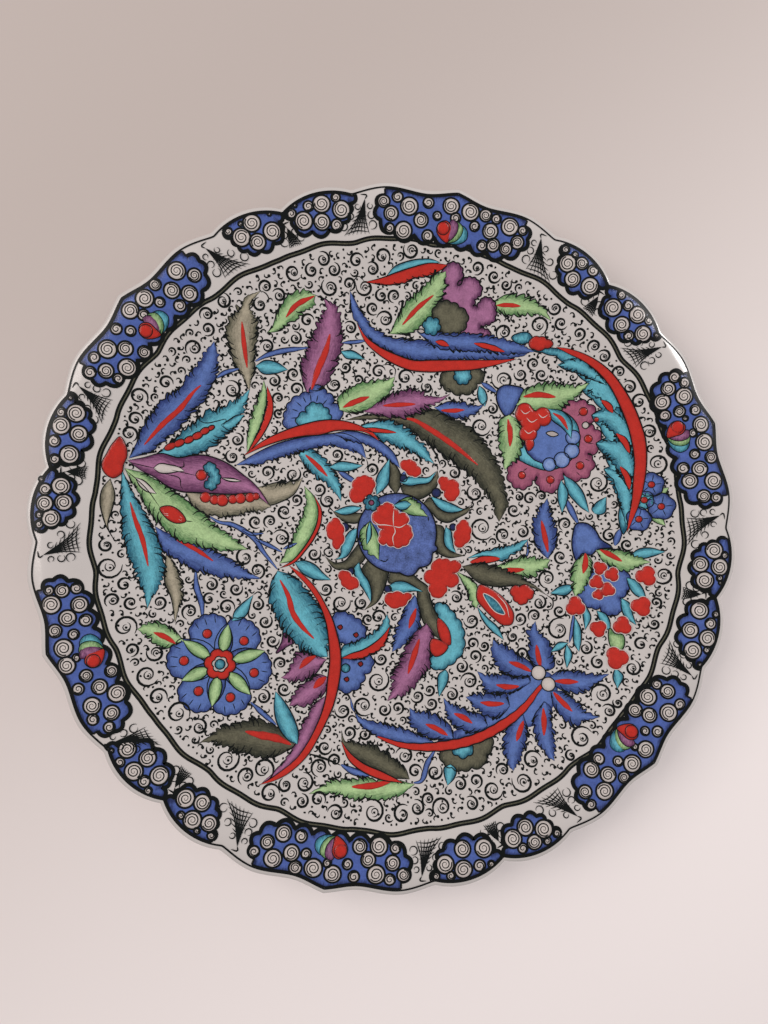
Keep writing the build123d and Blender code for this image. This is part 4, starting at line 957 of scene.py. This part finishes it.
def pearls(group, centre, rows, outline, mirror=1, keep_off=()):
    """The discs of one cloud, each pushed a little off its place and never over its neighbour, with smaller
    ones in the gaps that are left."""
    placed = list(keep_off)
    for a, r, size in rows:
        x, y = polar(centre + mirror * (a + rng.normal() * 0.2), r + rng.normal() * 0.3)
        size = min(size * 1.2, 3.7, float(distance_to(np.array([[x, y]]), outline)[0]) + 0.5)
        for px, py, ps in placed:
            size = min(size, math.hypot(x - px, y - py) - ps + 0.3)
        if size > 0.9:
            placed.append((x, y, size))
            disc(group, x, y, size, 2)
    lo, hi = outline.min(0), outline.max(0)
    spots = lo + rng.random((900, 2)) * (hi - lo)
    spots = spots[inside_of(spots, outline)]
    room = np.minimum(distance_to(spots, outline) + 0.1, 2.9)
    for px, py, ps in placed:
        room = np.minimum(room, np.hypot(spots[:, 0] - px, spots[:, 1] - py) - ps - 0.15)
    while len(room) and room.max() > 1.9:
        i = int(np.argmax(room))
        (x, y), size = spots[i], float(room[i])
        disc(group, x, y, size, 2)
        room = np.minimum(room, np.hypot(spots[:, 0] - x, spots[:, 1] - y) - size - 0.15)


EDGE_INSET = 3.4
for k in range(6):
    c = 60.0 * k
    # The second cloud is shorter on its left, and the fifth lies a little further round.
    turn = -2.2 if k == 4 else 0.0
    side = [(a * (0.8 if k == 1 and a < 0 else 1.0) + turn, r) for a, r in FLANK]
    rows = [(a * (0.8 if k == 1 and a < 0 else 1.0) + turn, r, size) for a, r, size in LARGE]
    tip = side[-1][0]
    part = lobed(around(c, side), 0.2, 7)[:-6]
    whole = np.vstack([edge_line(c, tip, 12.3 + turn, EDGE_INSET), part])
    name = "large_cloud_%d" % (k + 1)
    patch(name, "cloud", whole, level=1, line=0.8, spacing=2.4)
    ink(part, 1.7, 1, taper="", smooth=False, group=name)
    pearls("cloud_discs_%d" % (k + 1), c, [d for d in rows if not (-5.0 < d[0] - turn < 5.5 and d[1] < 134.5)], whole,
           keep_off=[(*polar(c + turn - 1.5, 131.0), 4.6), (*polar(c + turn + 1.8, 130.6), 4.4)])
    for m in (1, -1):
        squeeze = 0.82 if m == 1 else 1.0
        part = lobed(around(c + 30, [(squeeze * (a - 30), r) for a, r in SIDE], m), 0.2, 7)[:-6]
        whole = np.vstack([edge_line(c + 30, -12.6 * squeeze, -0.2, EDGE_INSET, m), part])
        name = "paired_cloud_%d" % (k + 1)
        patch(name, "cloud", whole, level=1, line=0.8, spacing=2.4)
        ink(part, 1.6, 1, taper="", smooth=False, group=name)
        pearls("cloud_discs_%d" % (k + 1), c + 30, [(squeeze * (a - 30), r, s) for a, r, s in PAIRED], whole, m)

    def local(dx, dr, c=c + turn):
        """A point dx to the right of the rim's point and at distance dr from the plate's centre."""
        return tuple(polar(c + math.degrees(dx / 131.0), dr))

    for colour, name, pts, level in (
            ("turquoise", "bud_turquoise", [(-0.5, 126.4), (4.0, 126.6), (7.2, 129.4), (6.6, 132.6), (4.0, 134.2),
             (2.2, 131.0)], 3),
            ("green", "bud_green", [(-0.8, 126.3), (2.6, 127.4), (4.6, 130.4), (4.4, 133.6), (1.6, 135.2),
             (0.4, 131.0)], 4),
            ("purple", "bud_purple", [(-1.2, 126.3), (1.0, 128.0), (2.6, 131.4), (2.0, 134.6), (-0.4, 135.6),
             (-1.8, 131.0)], 5),
            ("red", "bud_red", [(-0.6, 126.2), (-0.2, 129.2), (-0.4, 132.8), (-2.6, 134.6), (-5.6, 133.4),
             (-6.4, 130.4), (-4.6, 127.8)], 6)):
        blob(name, colour, [local(*p) for p in pts], level=level, dome=0.12, spacing=1.4, line=0.35)
    dot("bud_red", "red", *local(-3.6, 131.4), 2.6, level=7, dome=0.2)

# The ring isn't quite round: its distance from the centre at every 60 degrees.
TURNS = [0, 60, 120, 180, 240, 300, 360]
RING = np.array([126, 126.5, 125.5, 124, 123.5, 124.5, 126])
a = np.arange(0, 360, 0.75)
ring = np.interp(a, TURNS, RING)
ring = ring + 1.2 * np.abs(np.sin(np.radians(a * 12 + 40))) - 0.6 + 0.35 * np.sin(np.radians(a * 41))
band_in, band_out = polar(a, ring - 1.3), polar(a, ring)
for i in range(len(a)):
    j = (i + 1) % len(a)
    quad = np.array([band_in[i], band_out[i], band_out[j], band_in[j]])
    brush = np.column_stack([[0.2, 0.9, 0.9, 0.2], [0.5] * 4, [0.4] * 4])
    coat("ring_line", "olive").add(quad, LIFT, up(quad, np.array([[0, 1, 2, 3]])), brush,
                                   np.column_stack([quad, np.zeros(4)]))
ink(band_out, 0.9, 0, taper="", smooth=False, closed=True, group="ring_line")
ink(band_in, 0.75, 0, taper="", smooth=False, closed=True, group="ring_line")
a = np.arange(0, 360, 0.5)
ink(polar(a, rim_r(a) - 2.6), 0.8, 1, taper="", smooth=False, closed=True, group="rim_line")


def tassel(centre, base, tip, tip_r, width, loops=3):
    """A net fan: lines from its foot on the ring to its hooked tip, with cross strokes and side loops."""
    lines = [[(base + width * (f - 0.5), 127.2), (base + (tip - base) * 0.45 + width * 0.42 * (f - 0.5), 132.0),
              (tip, tip_r)] for f in np.linspace(0, 1, 7)]
    for p in lines:
        ink(around(centre, p), 0.5, 3)
    for u in np.linspace(0.06, 0.62, 6):
        r = 127.2 + (tip_r - 127.2) * u
        mid = base + (tip - base) * u
        w = width * (1 - u) * 0.5
        ink(around(centre, [(mid - w, r - 0.3), (mid, r + 0.7), (mid + w, r)]), 0.5, 3)
    s = 1 if tip < base else -1
    ink(around(centre, [(tip, tip_r), (tip - 0.4 * s, tip_r + 1.6), (tip + 0.7 * s, tip_r + 2.2)]), 0.7, 2)
    for i in range(loops):
        for m in (-1, 1):
            r = 128.6 + (tip_r - 130) * (i + 0.6) / loops
            mid = base + (tip - base) * (i + 0.6) / loops
            x, y = polar(centre + mid + m * (width * 0.5 * (1 - (i + 0.5) / loops) + 0.7), r)
            curl("ink", x, y, 1.9 - 0.3 * i, 0.9, 0.5, 3, rng.random() * 6, m, 0.25, "both")


for k in range(6):
    tassel(60 * k, 18.5, 15.7, 141.0, 5.4)
    if k == 4:
        tassel(60 * k, -21.0, -17.3, 142.0, 4.4)
    else:
        tassel(60 * k, -17.8, -15.8, 141.0, 4.8)
    tassel(60 * k, 30.4, 29.9, 135.0, 2.4, 2)


# ---------------------------------------------------------------- the scrollwork that fills the ground
GRID = 0.5
SPAN = 132.0
cells = int(2 * SPAN / GRID)
taken = np.zeros((cells, cells), bool)
xs = (np.arange(cells) + 0.5) * GRID - SPAN
gx, gy = np.meshgrid(xs, xs, indexing="ij")
rad = np.hypot(gx, gy)
ang = np.degrees(np.arctan2(gx, gy)) % 360
taken[rad > np.interp(ang, TURNS, RING - 2.6)] = True
for o in covered:
    lo = np.maximum(((o.min(0) + SPAN) / GRID).astype(int) - 1, 0)
    hi = np.minimum(((o.max(0) + SPAN) / GRID).astype(int) + 2, cells)
    if (hi <= lo).any():
        continue
    sub = np.column_stack([gx[lo[0]:hi[0], lo[1]:hi[1]].ravel(), gy[lo[0]:hi[0], lo[1]:hi[1]].ravel()])
    taken[lo[0]:hi[0], lo[1]:hi[1]] |= inside_of(sub, o).reshape(hi[0] - lo[0], hi[1] - lo[1])


def stencil(r):
    """Steps to the grid cells within distance r."""
    n = int(math.ceil(r / GRID))
    i, j = np.meshgrid(np.arange(-n, n + 1), np.arange(-n, n + 1), indexing="ij")
    keep = np.hypot(i, j) * GRID <= r
    return i[keep], j[keep]


def free(x, y, r):
    """Whether nothing lies within distance r."""
    i, j = stencil(r)
    a = int((x + SPAN) / GRID) + i
    b = int((y + SPAN) / GRID) + j
    return not taken[np.clip(a, 0, cells - 1), np.clip(b, 0, cells - 1)].any()


def take(x, y, r):
    """Mark the cells within distance r as taken."""
    i, j = stencil(r)
    a = np.clip(int((x + SPAN) / GRID) + i, 0, cells - 1)
    b = np.clip(int((y + SPAN) / GRID) + j, 0, cells - 1)
    taken[a, b] = True


def blot(x, y, r):
    """A small uneven drop of black."""
    o = circle(x, y, r, 7) + rng.normal(size=(7, 2)) * r * 0.12
    brush = np.tile([1.0, 0.5, rng.random()], (7, 1))
    coat("scrolls", "ink").add(o, LIFT + INK, [tuple(range(7))], brush, np.column_stack([o, np.zeros(7)]))


def comma(x, y, r, turn=None):
    """A dot with a hooked tail, as a loaded brush leaves it."""
    a = rng.random() * 6.28 if turn is None else turn
    s = rng.choice([-1, 1])
    t = np.linspace(0, 1, 7)
    ph = a + s * t * 3.4
    rr = r * (1 - 0.25 * t)
    pts = np.column_stack([x + rr * np.cos(ph), y + rr * np.sin(ph)])
    ink(pts[::-1], 0.62, 0, taper="start", smooth=False, group="scrolls")
    blot(pts[0, 0], pts[0, 1], 0.62 + 0.12 * rng.random())


def scroll(x, y, r):
    """A large open curl with a smaller one and two dots inside it."""
    s = rng.choice([-1, 1])
    a = rng.random() * 6.28
    curl("scrolls", x, y, r * 1.08, 1.15, 1.0, 0, a, s, 0.6, "both")
    curl("scrolls", x + 0.1 * r, y, r * 0.42, 1.0, 0.5, 0, a + 2, -s, 0.5, "both")
    blot(x + 0.12 * r, y - 0.05 * r, 0.55)
    if r > 2.9:
        blot(x + r * 0.55 * math.cos(a + 3.6), y + r * 0.55 * math.sin(a + 3.6), 0.5)


# The large scrolls of the ground, as (x, y, radius).
SCROLLS = [
    (-50.9, 108.6, 2.9), (-62.1, 100.5, 3.2), (-45.9, 98.5, 3.6), (-71.3, 101.1, 2.5), (-78.3, 91.5, 3.8),
    (-88.1, 82.3, 3), (-67.3, 68.7, 2.8), (-56.3, 74.8, 2.6), (-101.6, 66.1, 2.6), (-96.4, 60.7, 3.3),
    (-109.4, 49.7, 3.5), (-78.3, 47.7, 3.6), (-93.6, 75.4, 2.8), (-58.6, 48.3, 2.4), (-57.2, 41.9, 2), (-114, 36, 3.5),
    (-37, 111.5, 2.9), (-36.3, 59, 3), (-26.5, 115.5, 3.2), (-15, 120.4, 3.3), (-31.4, 101.9, 3.5),
    (-23.7, 100.2, 2.6), (-20.2, 91, 3.4), (-18.5, 68.5, 2.8), (-6.6, 68.5, 3.3), (-32.9, 67.3, 2.4), (-26.5, 63.3, 2),
    (35.5, 76, 4.6), (31.7, 95.9, 3.3), (22.2, 117.2, 2.6), (28, 114.9, 2.2), (32.6, 118.1, 2.2), (10.4, 121.5, 2.8),
    (-4.6, 122.7, 2.5), (30, 54, 4.2), (33.5, 62.7, 2.4), (3.5, 66.1, 2.4), (45.7, 112.9, 3.8), (57.5, 107.7, 3.4),
    (68.5, 99.6, 4.9), (45.7, 101.3, 3.9), (57.8, 82.3, 5.8), (83.5, 87.8, 3), (89, 82.3, 2.8), (94.4, 77.1, 3.1),
    (101.4, 65, 3), (107.4, 52.3, 4.6), (85.2, 39.6, 4.3), (83.8, 47.1, 2.8), (-114.9, 20.2, 3.2), (-72.8, 19.6, 2.8),
    (-46, 17.3, 3.2), (-56.9, 16.1, 2.9), (-46.5, 0.9, 3), (-42.5, 6.9, 2.5), (-45.7, -10.4, 3.6), (-59.2, -21.4, 3.9),
    (-52.9, -26, 3.3), (-112, -35.2, 4.8), (-62.5, -43.5, 3.2), (-50, -40, 2.6), (-70.5, -41.4, 2.5), (32.9, 24.8, 3.5),
    (38.7, 10.4, 5.2), (-29.4, 9.2, 3), (-30.6, -14.4, 2.8), (-15.3, -32.9, 3.9), (-2.6, -37.6, 2.3), (1.7, -35.8, 3),
    (41.8, -30, 3.2), (44.2, -39.5, 2.4), (51.2, 20.8, 2.8), (48.6, 9.2, 3.2), (74.8, 19.3, 2.9), (75.4, 4.6, 2.9),
    (71.4, -5.8, 4), (94.4, 17.9, 2.7), (102.5, 15.3, 2.6), (119, 5.2, 3.9), (69.9, -16.7, 3), (80.3, -26.6, 4.8),
    (118.1, -6.9, 2.2), (118.7, -16.2, 2.3), (61, -33.5, 2.2), (49.4, -39.8, 2.2), (112.9, -36.5, 3.2),
    (93, -32.3, 2.8), (66.2, -39.8, 2.5), (62.1, 29.4, 2.2), (52.3, 27.1, 2), (-107.7, -48.3, 2.9),
    (-100.8, -58.1, 4.5), (-89.8, -46.3, 2.8), (-45.4, -46.5, 2.9), (-77.1, -48, 3.2), (-86.9, -66.7, 3.4),
    (-88.1, -76, 4.3), (-82, -83.8, 3.5), (-72.8, -89, 4.6), (-63.3, -93.3, 3.1), (-49.4, -104.2, 5),
    (-40.8, -54, 2.7), (-40, -77.7, 2.9), (-58.1, -99.6, 3), (-40.2, -109.4, 3.4), (6.6, -62.7, 4.8), (2.6, -74.2, 4.2),
    (-5.8, -77.7, 3.2), (29.4, -62.7, 2.4), (17.3, -72.5, 2.6), (-10.4, -93.9, 2.9), (5.2, -85.8, 2.6),
    (-11, -101.9, 3.6), (-34, -106, 4.5), (-16.2, -108.8, 3.8), (-29.4, -114.6, 3.8), (23.7, -91.5, 3.6),
    (14.4, -115.2, 4.6), (-9.2, -114, 3), (-1.1, -118.1, 3.2), (26.5, -114, 3.6), (37.5, -95.6, 3.2),
    (42.6, -108.5, 3.9), (36.5, -106.5, 2.6), (-32, -73.1, 2.8), (32.3, -110.6, 3), (45.7, -55.8, 3.6),
    (102.2, -50, 4.3), (96.2, -69.6, 4.6), (77.4, -82.9, 3.8), (74.5, -92.1, 4.3), (62.7, -97.9, 3.9),
    (60.1, -86.4, 2.9), (54.6, -104.8, 2.8), (87.2, -77.1, 3.6), (108.9, -52.3, 2), (92.7, -77.7, 2.2)]
for x, y, r in SCROLLS:
    if free(x, y, r * 0.55):
        scroll(x, y, r)
        take(x, y, r + 0.2)
# Each pass: clearance that a stroke needs, radius that it takes, and how many places are tried.
order = rng.permutation(cells * cells)
order = order[~taken.ravel()[order]]
px, py = xs[order // cells], xs[order % cells]
for need, mark, count in ((2.9, 3.2, 1500), (1.9, 2.2, 900), (1.2, 1.72, 10**7), (0.75, 1.45, 10**7)):
    for x, y in zip(px[:count], py[:count]):
        if not taken[int((x + SPAN) / GRID), int((y + SPAN) / GRID)] and free(x, y, need):
            if need == 2.9:
                scroll(x, y, 2.7)
            elif need == 1.9:
                curl("scrolls", x, y, 1.9, 0.85, 0.8, 0, rng.random() * 6.28, rng.choice([-1, 1]), 0.55, "both")
                blot(x, y, 0.55)
            elif need == 1.2:
                comma(x, y, 1.15)
            else:
                blot(x, y, 0.48)
            take(x, y, mark)


# ---------------------------------------------------------------- materials
def srgb(r, g, b):
    """A linear colour from 8-bit sRGB values."""
    c = np.array([r, g, b]) / 255.0
    c = np.where(c <= 0.04045, c / 12.92, ((c + 0.055) / 1.055) ** 2.4)
    return (*[float(v) for v in c], 1.0)


def connect(tree, n, inputs):
    """Give each named input of a node its value, or the link from an output."""
    for key, value in inputs.items():
        if isinstance(value, bpy.types.NodeSocket):
            tree.links.new(value, n.inputs[key])
        else:
            n.inputs[key].default_value = value


def node(tree, kind, inputs=None, **values):
    """A new node with its settings and inputs."""
    n = tree.nodes.new(kind)
    for key, value in values.items():
        setattr(n, key, value)
    connect(tree, n, inputs or {})
    return n


def maths(tree, operation, *inputs):
    """The output of a Math node."""
    return node(tree, "ShaderNodeMath", dict(enumerate(inputs)), operation=operation).outputs[0]


def noise(tree, vector, scale, detail):
    """The value of a noise texture."""
    inputs = {"Vector": vector, "Scale": scale, "Detail": detail}
    return node(tree, "ShaderNodeTexNoise", inputs).outputs["Fac"]


def blend(tree, factor, a, b):
    """The mix of two colours."""
    return node(tree, "ShaderNodeMix", {"Factor": factor, "A": a, "B": b}, data_type="RGBA").outputs["Result"]


def bumped(tree, height, strength, distance):
    """The normal of a bump."""
    return node(tree, "ShaderNodeBump", {"Height": height, "Strength": strength, "Distance": distance}).outputs[0]


def places(tree):
    """The object's own coordinates."""
    return node(tree, "ShaderNodeTexCoord").outputs["Object"]


def brushwork():
    """Colour and normal of enamel laid with a brush: darker where the patch ends and where hairs of the brush
    ran dry, lighter in the middle, with a fine grain."""
    g = bpy.data.node_groups.new("brushwork", "ShaderNodeTree")
    io = g.interface
    for name, kind, value in (("Light", "NodeSocketColor", (1, 1, 1, 1)), ("Dark", "NodeSocketColor", (0, 0, 0, 1)),
                              ("Streak", "NodeSocketFloat", 0.5), ("Grain", "NodeSocketFloat", 0.2),
                              ("Reach", "NodeSocketFloat", 0.7)):
        io.new_socket(name=name, in_out="INPUT", socket_type=kind).default_value = value
    io.new_socket(name="Color", in_out="OUTPUT", socket_type="NodeSocketColor")
    io.new_socket(name="Normal", in_out="OUTPUT", socket_type="NodeSocketVector")
    given = node(g, "NodeGroupInput").outputs
    brush = node(g, "ShaderNodeAttribute", attribute_name="brush").outputs["Vector"]
    stroke = node(g, "ShaderNodeAttribute", attribute_name="stroke").outputs["Vector"]
    middle = node(g, "ShaderNodeSeparateXYZ", {0: brush}).outputs["X"]
    along = node(g, "ShaderNodeVectorMath", {0: stroke, 1: (2.4, 0.45, 1.0)}, operation="MULTIPLY").outputs[0]
    hairs = maths(g, "SUBTRACT", noise(g, along, 1.0, 3.0), 0.5)
    total = maths(g, "ADD", middle, maths(g, "MULTIPLY", hairs, given["Streak"]))
    ramp = node(g, "ShaderNodeMapRange", {"Value": total, "From Min": -0.1, "From Max": given["Reach"]},
                interpolation_type="SMOOTHSTEP").outputs["Result"]
    colour = blend(g, ramp, given["Dark"], given["Light"])
    where = places(g)
    cloudy = noise(g, where, 320.0, 2.0)
    grain = maths(g, "SUBTRACT", maths(g, "ADD", noise(g, where, 1500.0, 2.0), cloudy), 1.0)
    amount = maths(g, "MULTIPLY_ADD", grain, given["Grain"], 1.0)
    tint = node(g, "ShaderNodeVectorMath", {0: colour, "Scale": amount}, operation="SCALE").outputs[0]
    normal = bumped(g, maths(g, "MULTIPLY_ADD", cloudy, 0.5, ramp), 0.35, 0.0003)
    node(g, "NodeGroupOutput", {"Color": tint, "Normal": normal})
    return g


def material(name):
    """A new material, its node tree and its surface node."""
    m = bpy.data.materials.new(name)
    m.use_nodes = True
    return m, m.node_tree, m.node_tree.nodes["Principled BSDF"]


BRUSH = brushwork()


def enamel(name, light, dark, streak=0.6, grain=0.65, reach=0.7, rough=0.24, shine=0.3):
    """Brushed enamel between a light and a dark colour."""
    m, t, p = material(name)
    inputs = {"Light": srgb(*light), "Dark": srgb(*dark), "Streak": streak, "Grain": grain, "Reach": reach}
    g = node(t, "ShaderNodeGroup")
    g.node_tree = BRUSH
    connect(t, g, inputs)
    connect(t, p, {"Base Color": g.outputs["Color"], "Normal": g.outputs["Normal"], "Roughness": rough,
                   "Specular IOR Level": shine})
    return m


PAINTS = {
    "blue": ("enamel_cobalt", enamel("cobalt", (82, 106, 164), (26, 40, 94), reach=0.95, streak=1.0)),
    "cloud": ("enamel_cobalt", enamel("cobalt_cloud", (68, 88, 152), (14, 22, 60), reach=0.85, streak=0.9)),
    "ball": ("enamel_cobalt", enamel("cobalt_ball", (74, 92, 146), (38, 47, 96), grain=1.5, streak=0.2)),
    "navy": ("enamel_cobalt", enamel("navy", (32, 42, 90), (18, 22, 54))),
    "paleblue": ("enamel_cobalt", enamel("pale_blue", (120, 142, 188), (54, 82, 142))),
    "turquoise": ("enamel_turquoise", enamel("turquoise", (92, 164, 180), (4, 70, 94), reach=0.9, streak=1.0)),
    "green": ("enamel_green", enamel("green", (156, 184, 134), (62, 104, 60), reach=0.85, streak=1.0)),
    "purple": ("enamel_purple", enamel("purple", (150, 98, 134), (72, 30, 66), reach=0.95, streak=1.0)),
    "pink": ("enamel_purple", enamel("pink", (150, 84, 108), (92, 34, 66), reach=0.9, streak=1.0)),
    "red": ("enamel_red", enamel("red", (174, 38, 28), (112, 18, 16), grain=0.45, streak=0.5, reach=0.45)),
    "olive": ("enamel_olive", enamel("olive", (88, 86, 70), (26, 30, 22), grain=1.0, reach=0.95, streak=1.0)),
    "beige": ("enamel_olive", enamel("grey_leaf", (154, 146, 128), (70, 70, 56), reach=0.9, streak=1.0)),
    "white": ("enamel_white", enamel("pearl", (192, 184, 180), (160, 152, 150), grain=0.2)),
    "ink": ("enamel_olive", enamel("ink", (7, 11, 11), (4, 6, 7), grain=0.1, rough=0.35, shine=0.15)),
}


def link(name, points, faces):
    """A smooth mesh object in the scene."""
    mesh = bpy.data.meshes.new(name)
    mesh.from_pydata(points, [], faces)
    mesh.shade_smooth()
    ob = bpy.data.objects.new(name, mesh)
    bpy.context.scene.collection.objects.link(ob)
    return ob


def surface(name, rows, closed_rows=False):
    """A mesh from rows of points that each run all the way round."""
    rows = np.asarray(rows)
    n, m = rows.shape[:2]
    i, j = np.meshgrid(np.arange(n if closed_rows else n - 1), np.arange(m), indexing="ij")
    a = i * m + j
    b = i * m + (j + 1) % m
    d = ((i + 1) % n) * m + j
    e = ((i + 1) % n) * m + (j + 1) % m
    faces = np.stack([a, d, e, b], -1).reshape(-1, 4)
    return link(name, (rows.reshape(-1, 3) * MM).tolist(), faces.tolist())


# ---------------------------------------------------------------- the glazed plate and its foot
theta = np.arange(0, 360, 0.5)
R = rim_r(theta)
rows = []
for r in np.concatenate([[0.05, 8, 18, 30, 42, 54, 64], np.arange(69, 122, 2.6)]):
    rows.append((np.full_like(R, r), np.full_like(R, float(z_top(r)))))
for u in np.linspace(0.08, 1, 16):
    rr = 121.0 + (R - 3.5 - 121.0) * u
    rows.append((rr, z_top(rr)))
zc = z_top(R - 2) - 2
for u in np.linspace(80, -90, 13):
    ca, sa = math.cos(math.radians(u)), math.sin(math.radians(u))
    rows.append((R - 2 + 2 * ca, zc + 2 * sa))
under = np.array([(61.4, 2.9), (66.4, 1.0), (66.5, 2.9), (67.1, 4.0), (69.5, 4.9), (90, 6.9), (118, 12.5), (145, 19.4)])
for r in (143, 138, 132, 125, 118, 110, 100, 90, 80, 72):
    z = float(np.interp(r, under[4:, 0], under[4:, 1]))
    rows.append((np.full_like(R, r) + (R - 2 - 145) * max(0, (r - 118) / 27.0), np.full_like(R, z)))
for r, z in ((69.5, 4.9), (68.0, 4.6), (67.1, 4.0), (66.6, 2.9), (66.4, 1.0), (66.0, 0.9), (64, 1.1), (62, 0.9),
             (61.6, 1.0), (61.4, 2.6), (60.8, 3.8), (59.6, 4.4), (50, 4.4), (30, 4.4), (0.05, 4.4)):
    rows.append((np.full_like(R, r), np.full_like(R, z)))
plate = surface("glazed_plate", [np.column_stack([polar(theta, rr), zz]) for rr, zz in rows])
foot = surface("foot_ring", [np.column_stack([polar(theta, np.full_like(R, r)), np.full_like(R, z)]) for r, z in
                             ((66.1, 1.5), (66.1, 0.5), (65.7, 0.1), (65.2, 0.0), (62.8, 0.0), (62.3, 0.1), (61.9, 0.5),
                              (61.9, 1.5))], True)


def clay_look():
    """Bare buff clay with a grain."""
    m, t, p = material("clay")
    grain = noise(t, places(t), 900.0, 5.0)
    connect(t, p, {"Base Color": blend(t, grain, srgb(176, 150, 122), srgb(214, 196, 170)),
                   "Normal": bumped(t, grain, 0.4, 0.0003), "Roughness": 0.9})
    return m


def glaze_look():
    """Pale grey-pink glaze with soft uneven tone and a gentle ripple in its shine."""
    m, t, p = material("glaze")
    where = places(t)
    tone = blend(t, noise(t, where, 45.0, 6.0), srgb(180, 175, 173), srgb(196, 191, 189))
    connect(t, p, {"Base Color": tone, "Normal": bumped(t, noise(t, where, 110.0, 3.0), 0.25, 0.0004),
                   "Roughness": 0.2, "Specular IOR Level": 0.5})
    return m


plate.data.materials.append(glaze_look())
foot.data.materials.append(clay_look())
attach(plate, "root")
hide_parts("glaze_coat")
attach(foot, "root")
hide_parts("clay_body")

# The colour of each group that stands for the CAD node of the group's name.
MODELLED = {"large_cloud": "cloud", "paired_cloud": "cloud", "cloud_discs": "white", "ring_line": "ink"}
for (group, colour), c in coats.items():
    name = group if (group.startswith("bud_") and colour != "ink") else group + "_" + colour
    ob = link(name, (np.vstack(c.v) * MM).tolist(), c.f)
    for key, data in (("brush", c.brush), ("stroke", c.stroke)):
        layer = ob.data.attributes.new(key, "FLOAT_VECTOR", "POINT")
        layer.data.foreach_set("vector", np.vstack(data).astype(np.float32).ravel())
    ob.data.materials.append(PAINTS[colour][1])
    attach(ob, "root")
    if colour == MODELLED.get(group.rstrip("_123456")) or (group.startswith("bud_") and colour != "ink"):
        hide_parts(group)


# ---------------------------------------------------------------- where it lies
floor = link("floor", [(-1.5, -1.5, 0), (1.5, -1.5, 0), (1.5, 1.5, 0), (-1.5, 1.5, 0)], [(0, 1, 2, 3)])
m, t, p = material("floor")
# The floor's colour runs from darker towards -X +Y to lighter towards +X -Y: painted shade and light laid across the
# floor, standing in for the room's light falling off over it.
painted_shade_slope = node(t, "ShaderNodeVectorMath", {0: places(t), 1: (0.68, -0.73, 0.0)}, operation="DOT_PRODUCT")
place = node(t, "ShaderNodeMapRange", {"Value": painted_shade_slope.outputs["Value"], "From Min": -0.22, "From Max": 0.24},
             interpolation_type="SMOOTHSTEP")
tone = blend(t, place.outputs["Result"], srgb(180, 170, 166), srgb(238, 231, 231))
connect(t, p, {"Base Color": tone, "Roughness": 0.7, "Specular IOR Level": 0.2})
floor.data.materials.append(m)

world = bpy.data.worlds.new("room")
world.use_nodes = True
connect(world.node_tree, world.node_tree.nodes["Background"], {"Color": srgb(232, 228, 227), "Strength": 0.62})
bpy.context.scene.world = world


def lamp(name, place, target, size, power, tint=(255, 246, 240), size_y=None):
    """A square or oblong area lamp that faces a target."""
    data = bpy.data.lights.new(name, "AREA")
    data.energy = power
    data.color = srgb(*tint)[:3]
    data.size = size
    if size_y:
        data.shape = "RECTANGLE"
        data.size_y = size_y
    ob = bpy.data.objects.new(name, data)
    ob.location = place
    ob.rotation_euler = (Vector(target) - Vector(place)).to_track_quat("-Z", "Y").to_euler()
    bpy.context.scene.collection.objects.link(ob)
    return ob


lamp("window", (-0.78, 0.15, 0.80), (0.0, 0.0, 0), 0.7, 7.0)
lamp("rim_shine", (0.60, 0.55, 0.66), (0.1, 0.1, 0.02), 0.22, 4.0, (255, 252, 250), 0.10).data.use_shadow = False
bpy.context.scene.view_settings.view_transform = "Standard"

Z_RIM = float(z_top(145.0)) * MM
camera = bpy.data.objects.new("camera", bpy.data.cameras.new("camera"))
camera.data.lens = 27.07
camera.data.sensor_width = 36.0
camera.data.clip_start = 0.01
camera.matrix_world = Matrix(((0.97884, -0.19257, -0.06919, -0.02758), (0.19007, 0.98091, -0.04115, -0.00466),
                              (0.07580, 0.02713, 0.99675, Z_RIM + 0.31911), (0, 0, 0, 1)))
bpy.context.scene.collection.objects.link(camera)
bpy.context.scene.camera = camera
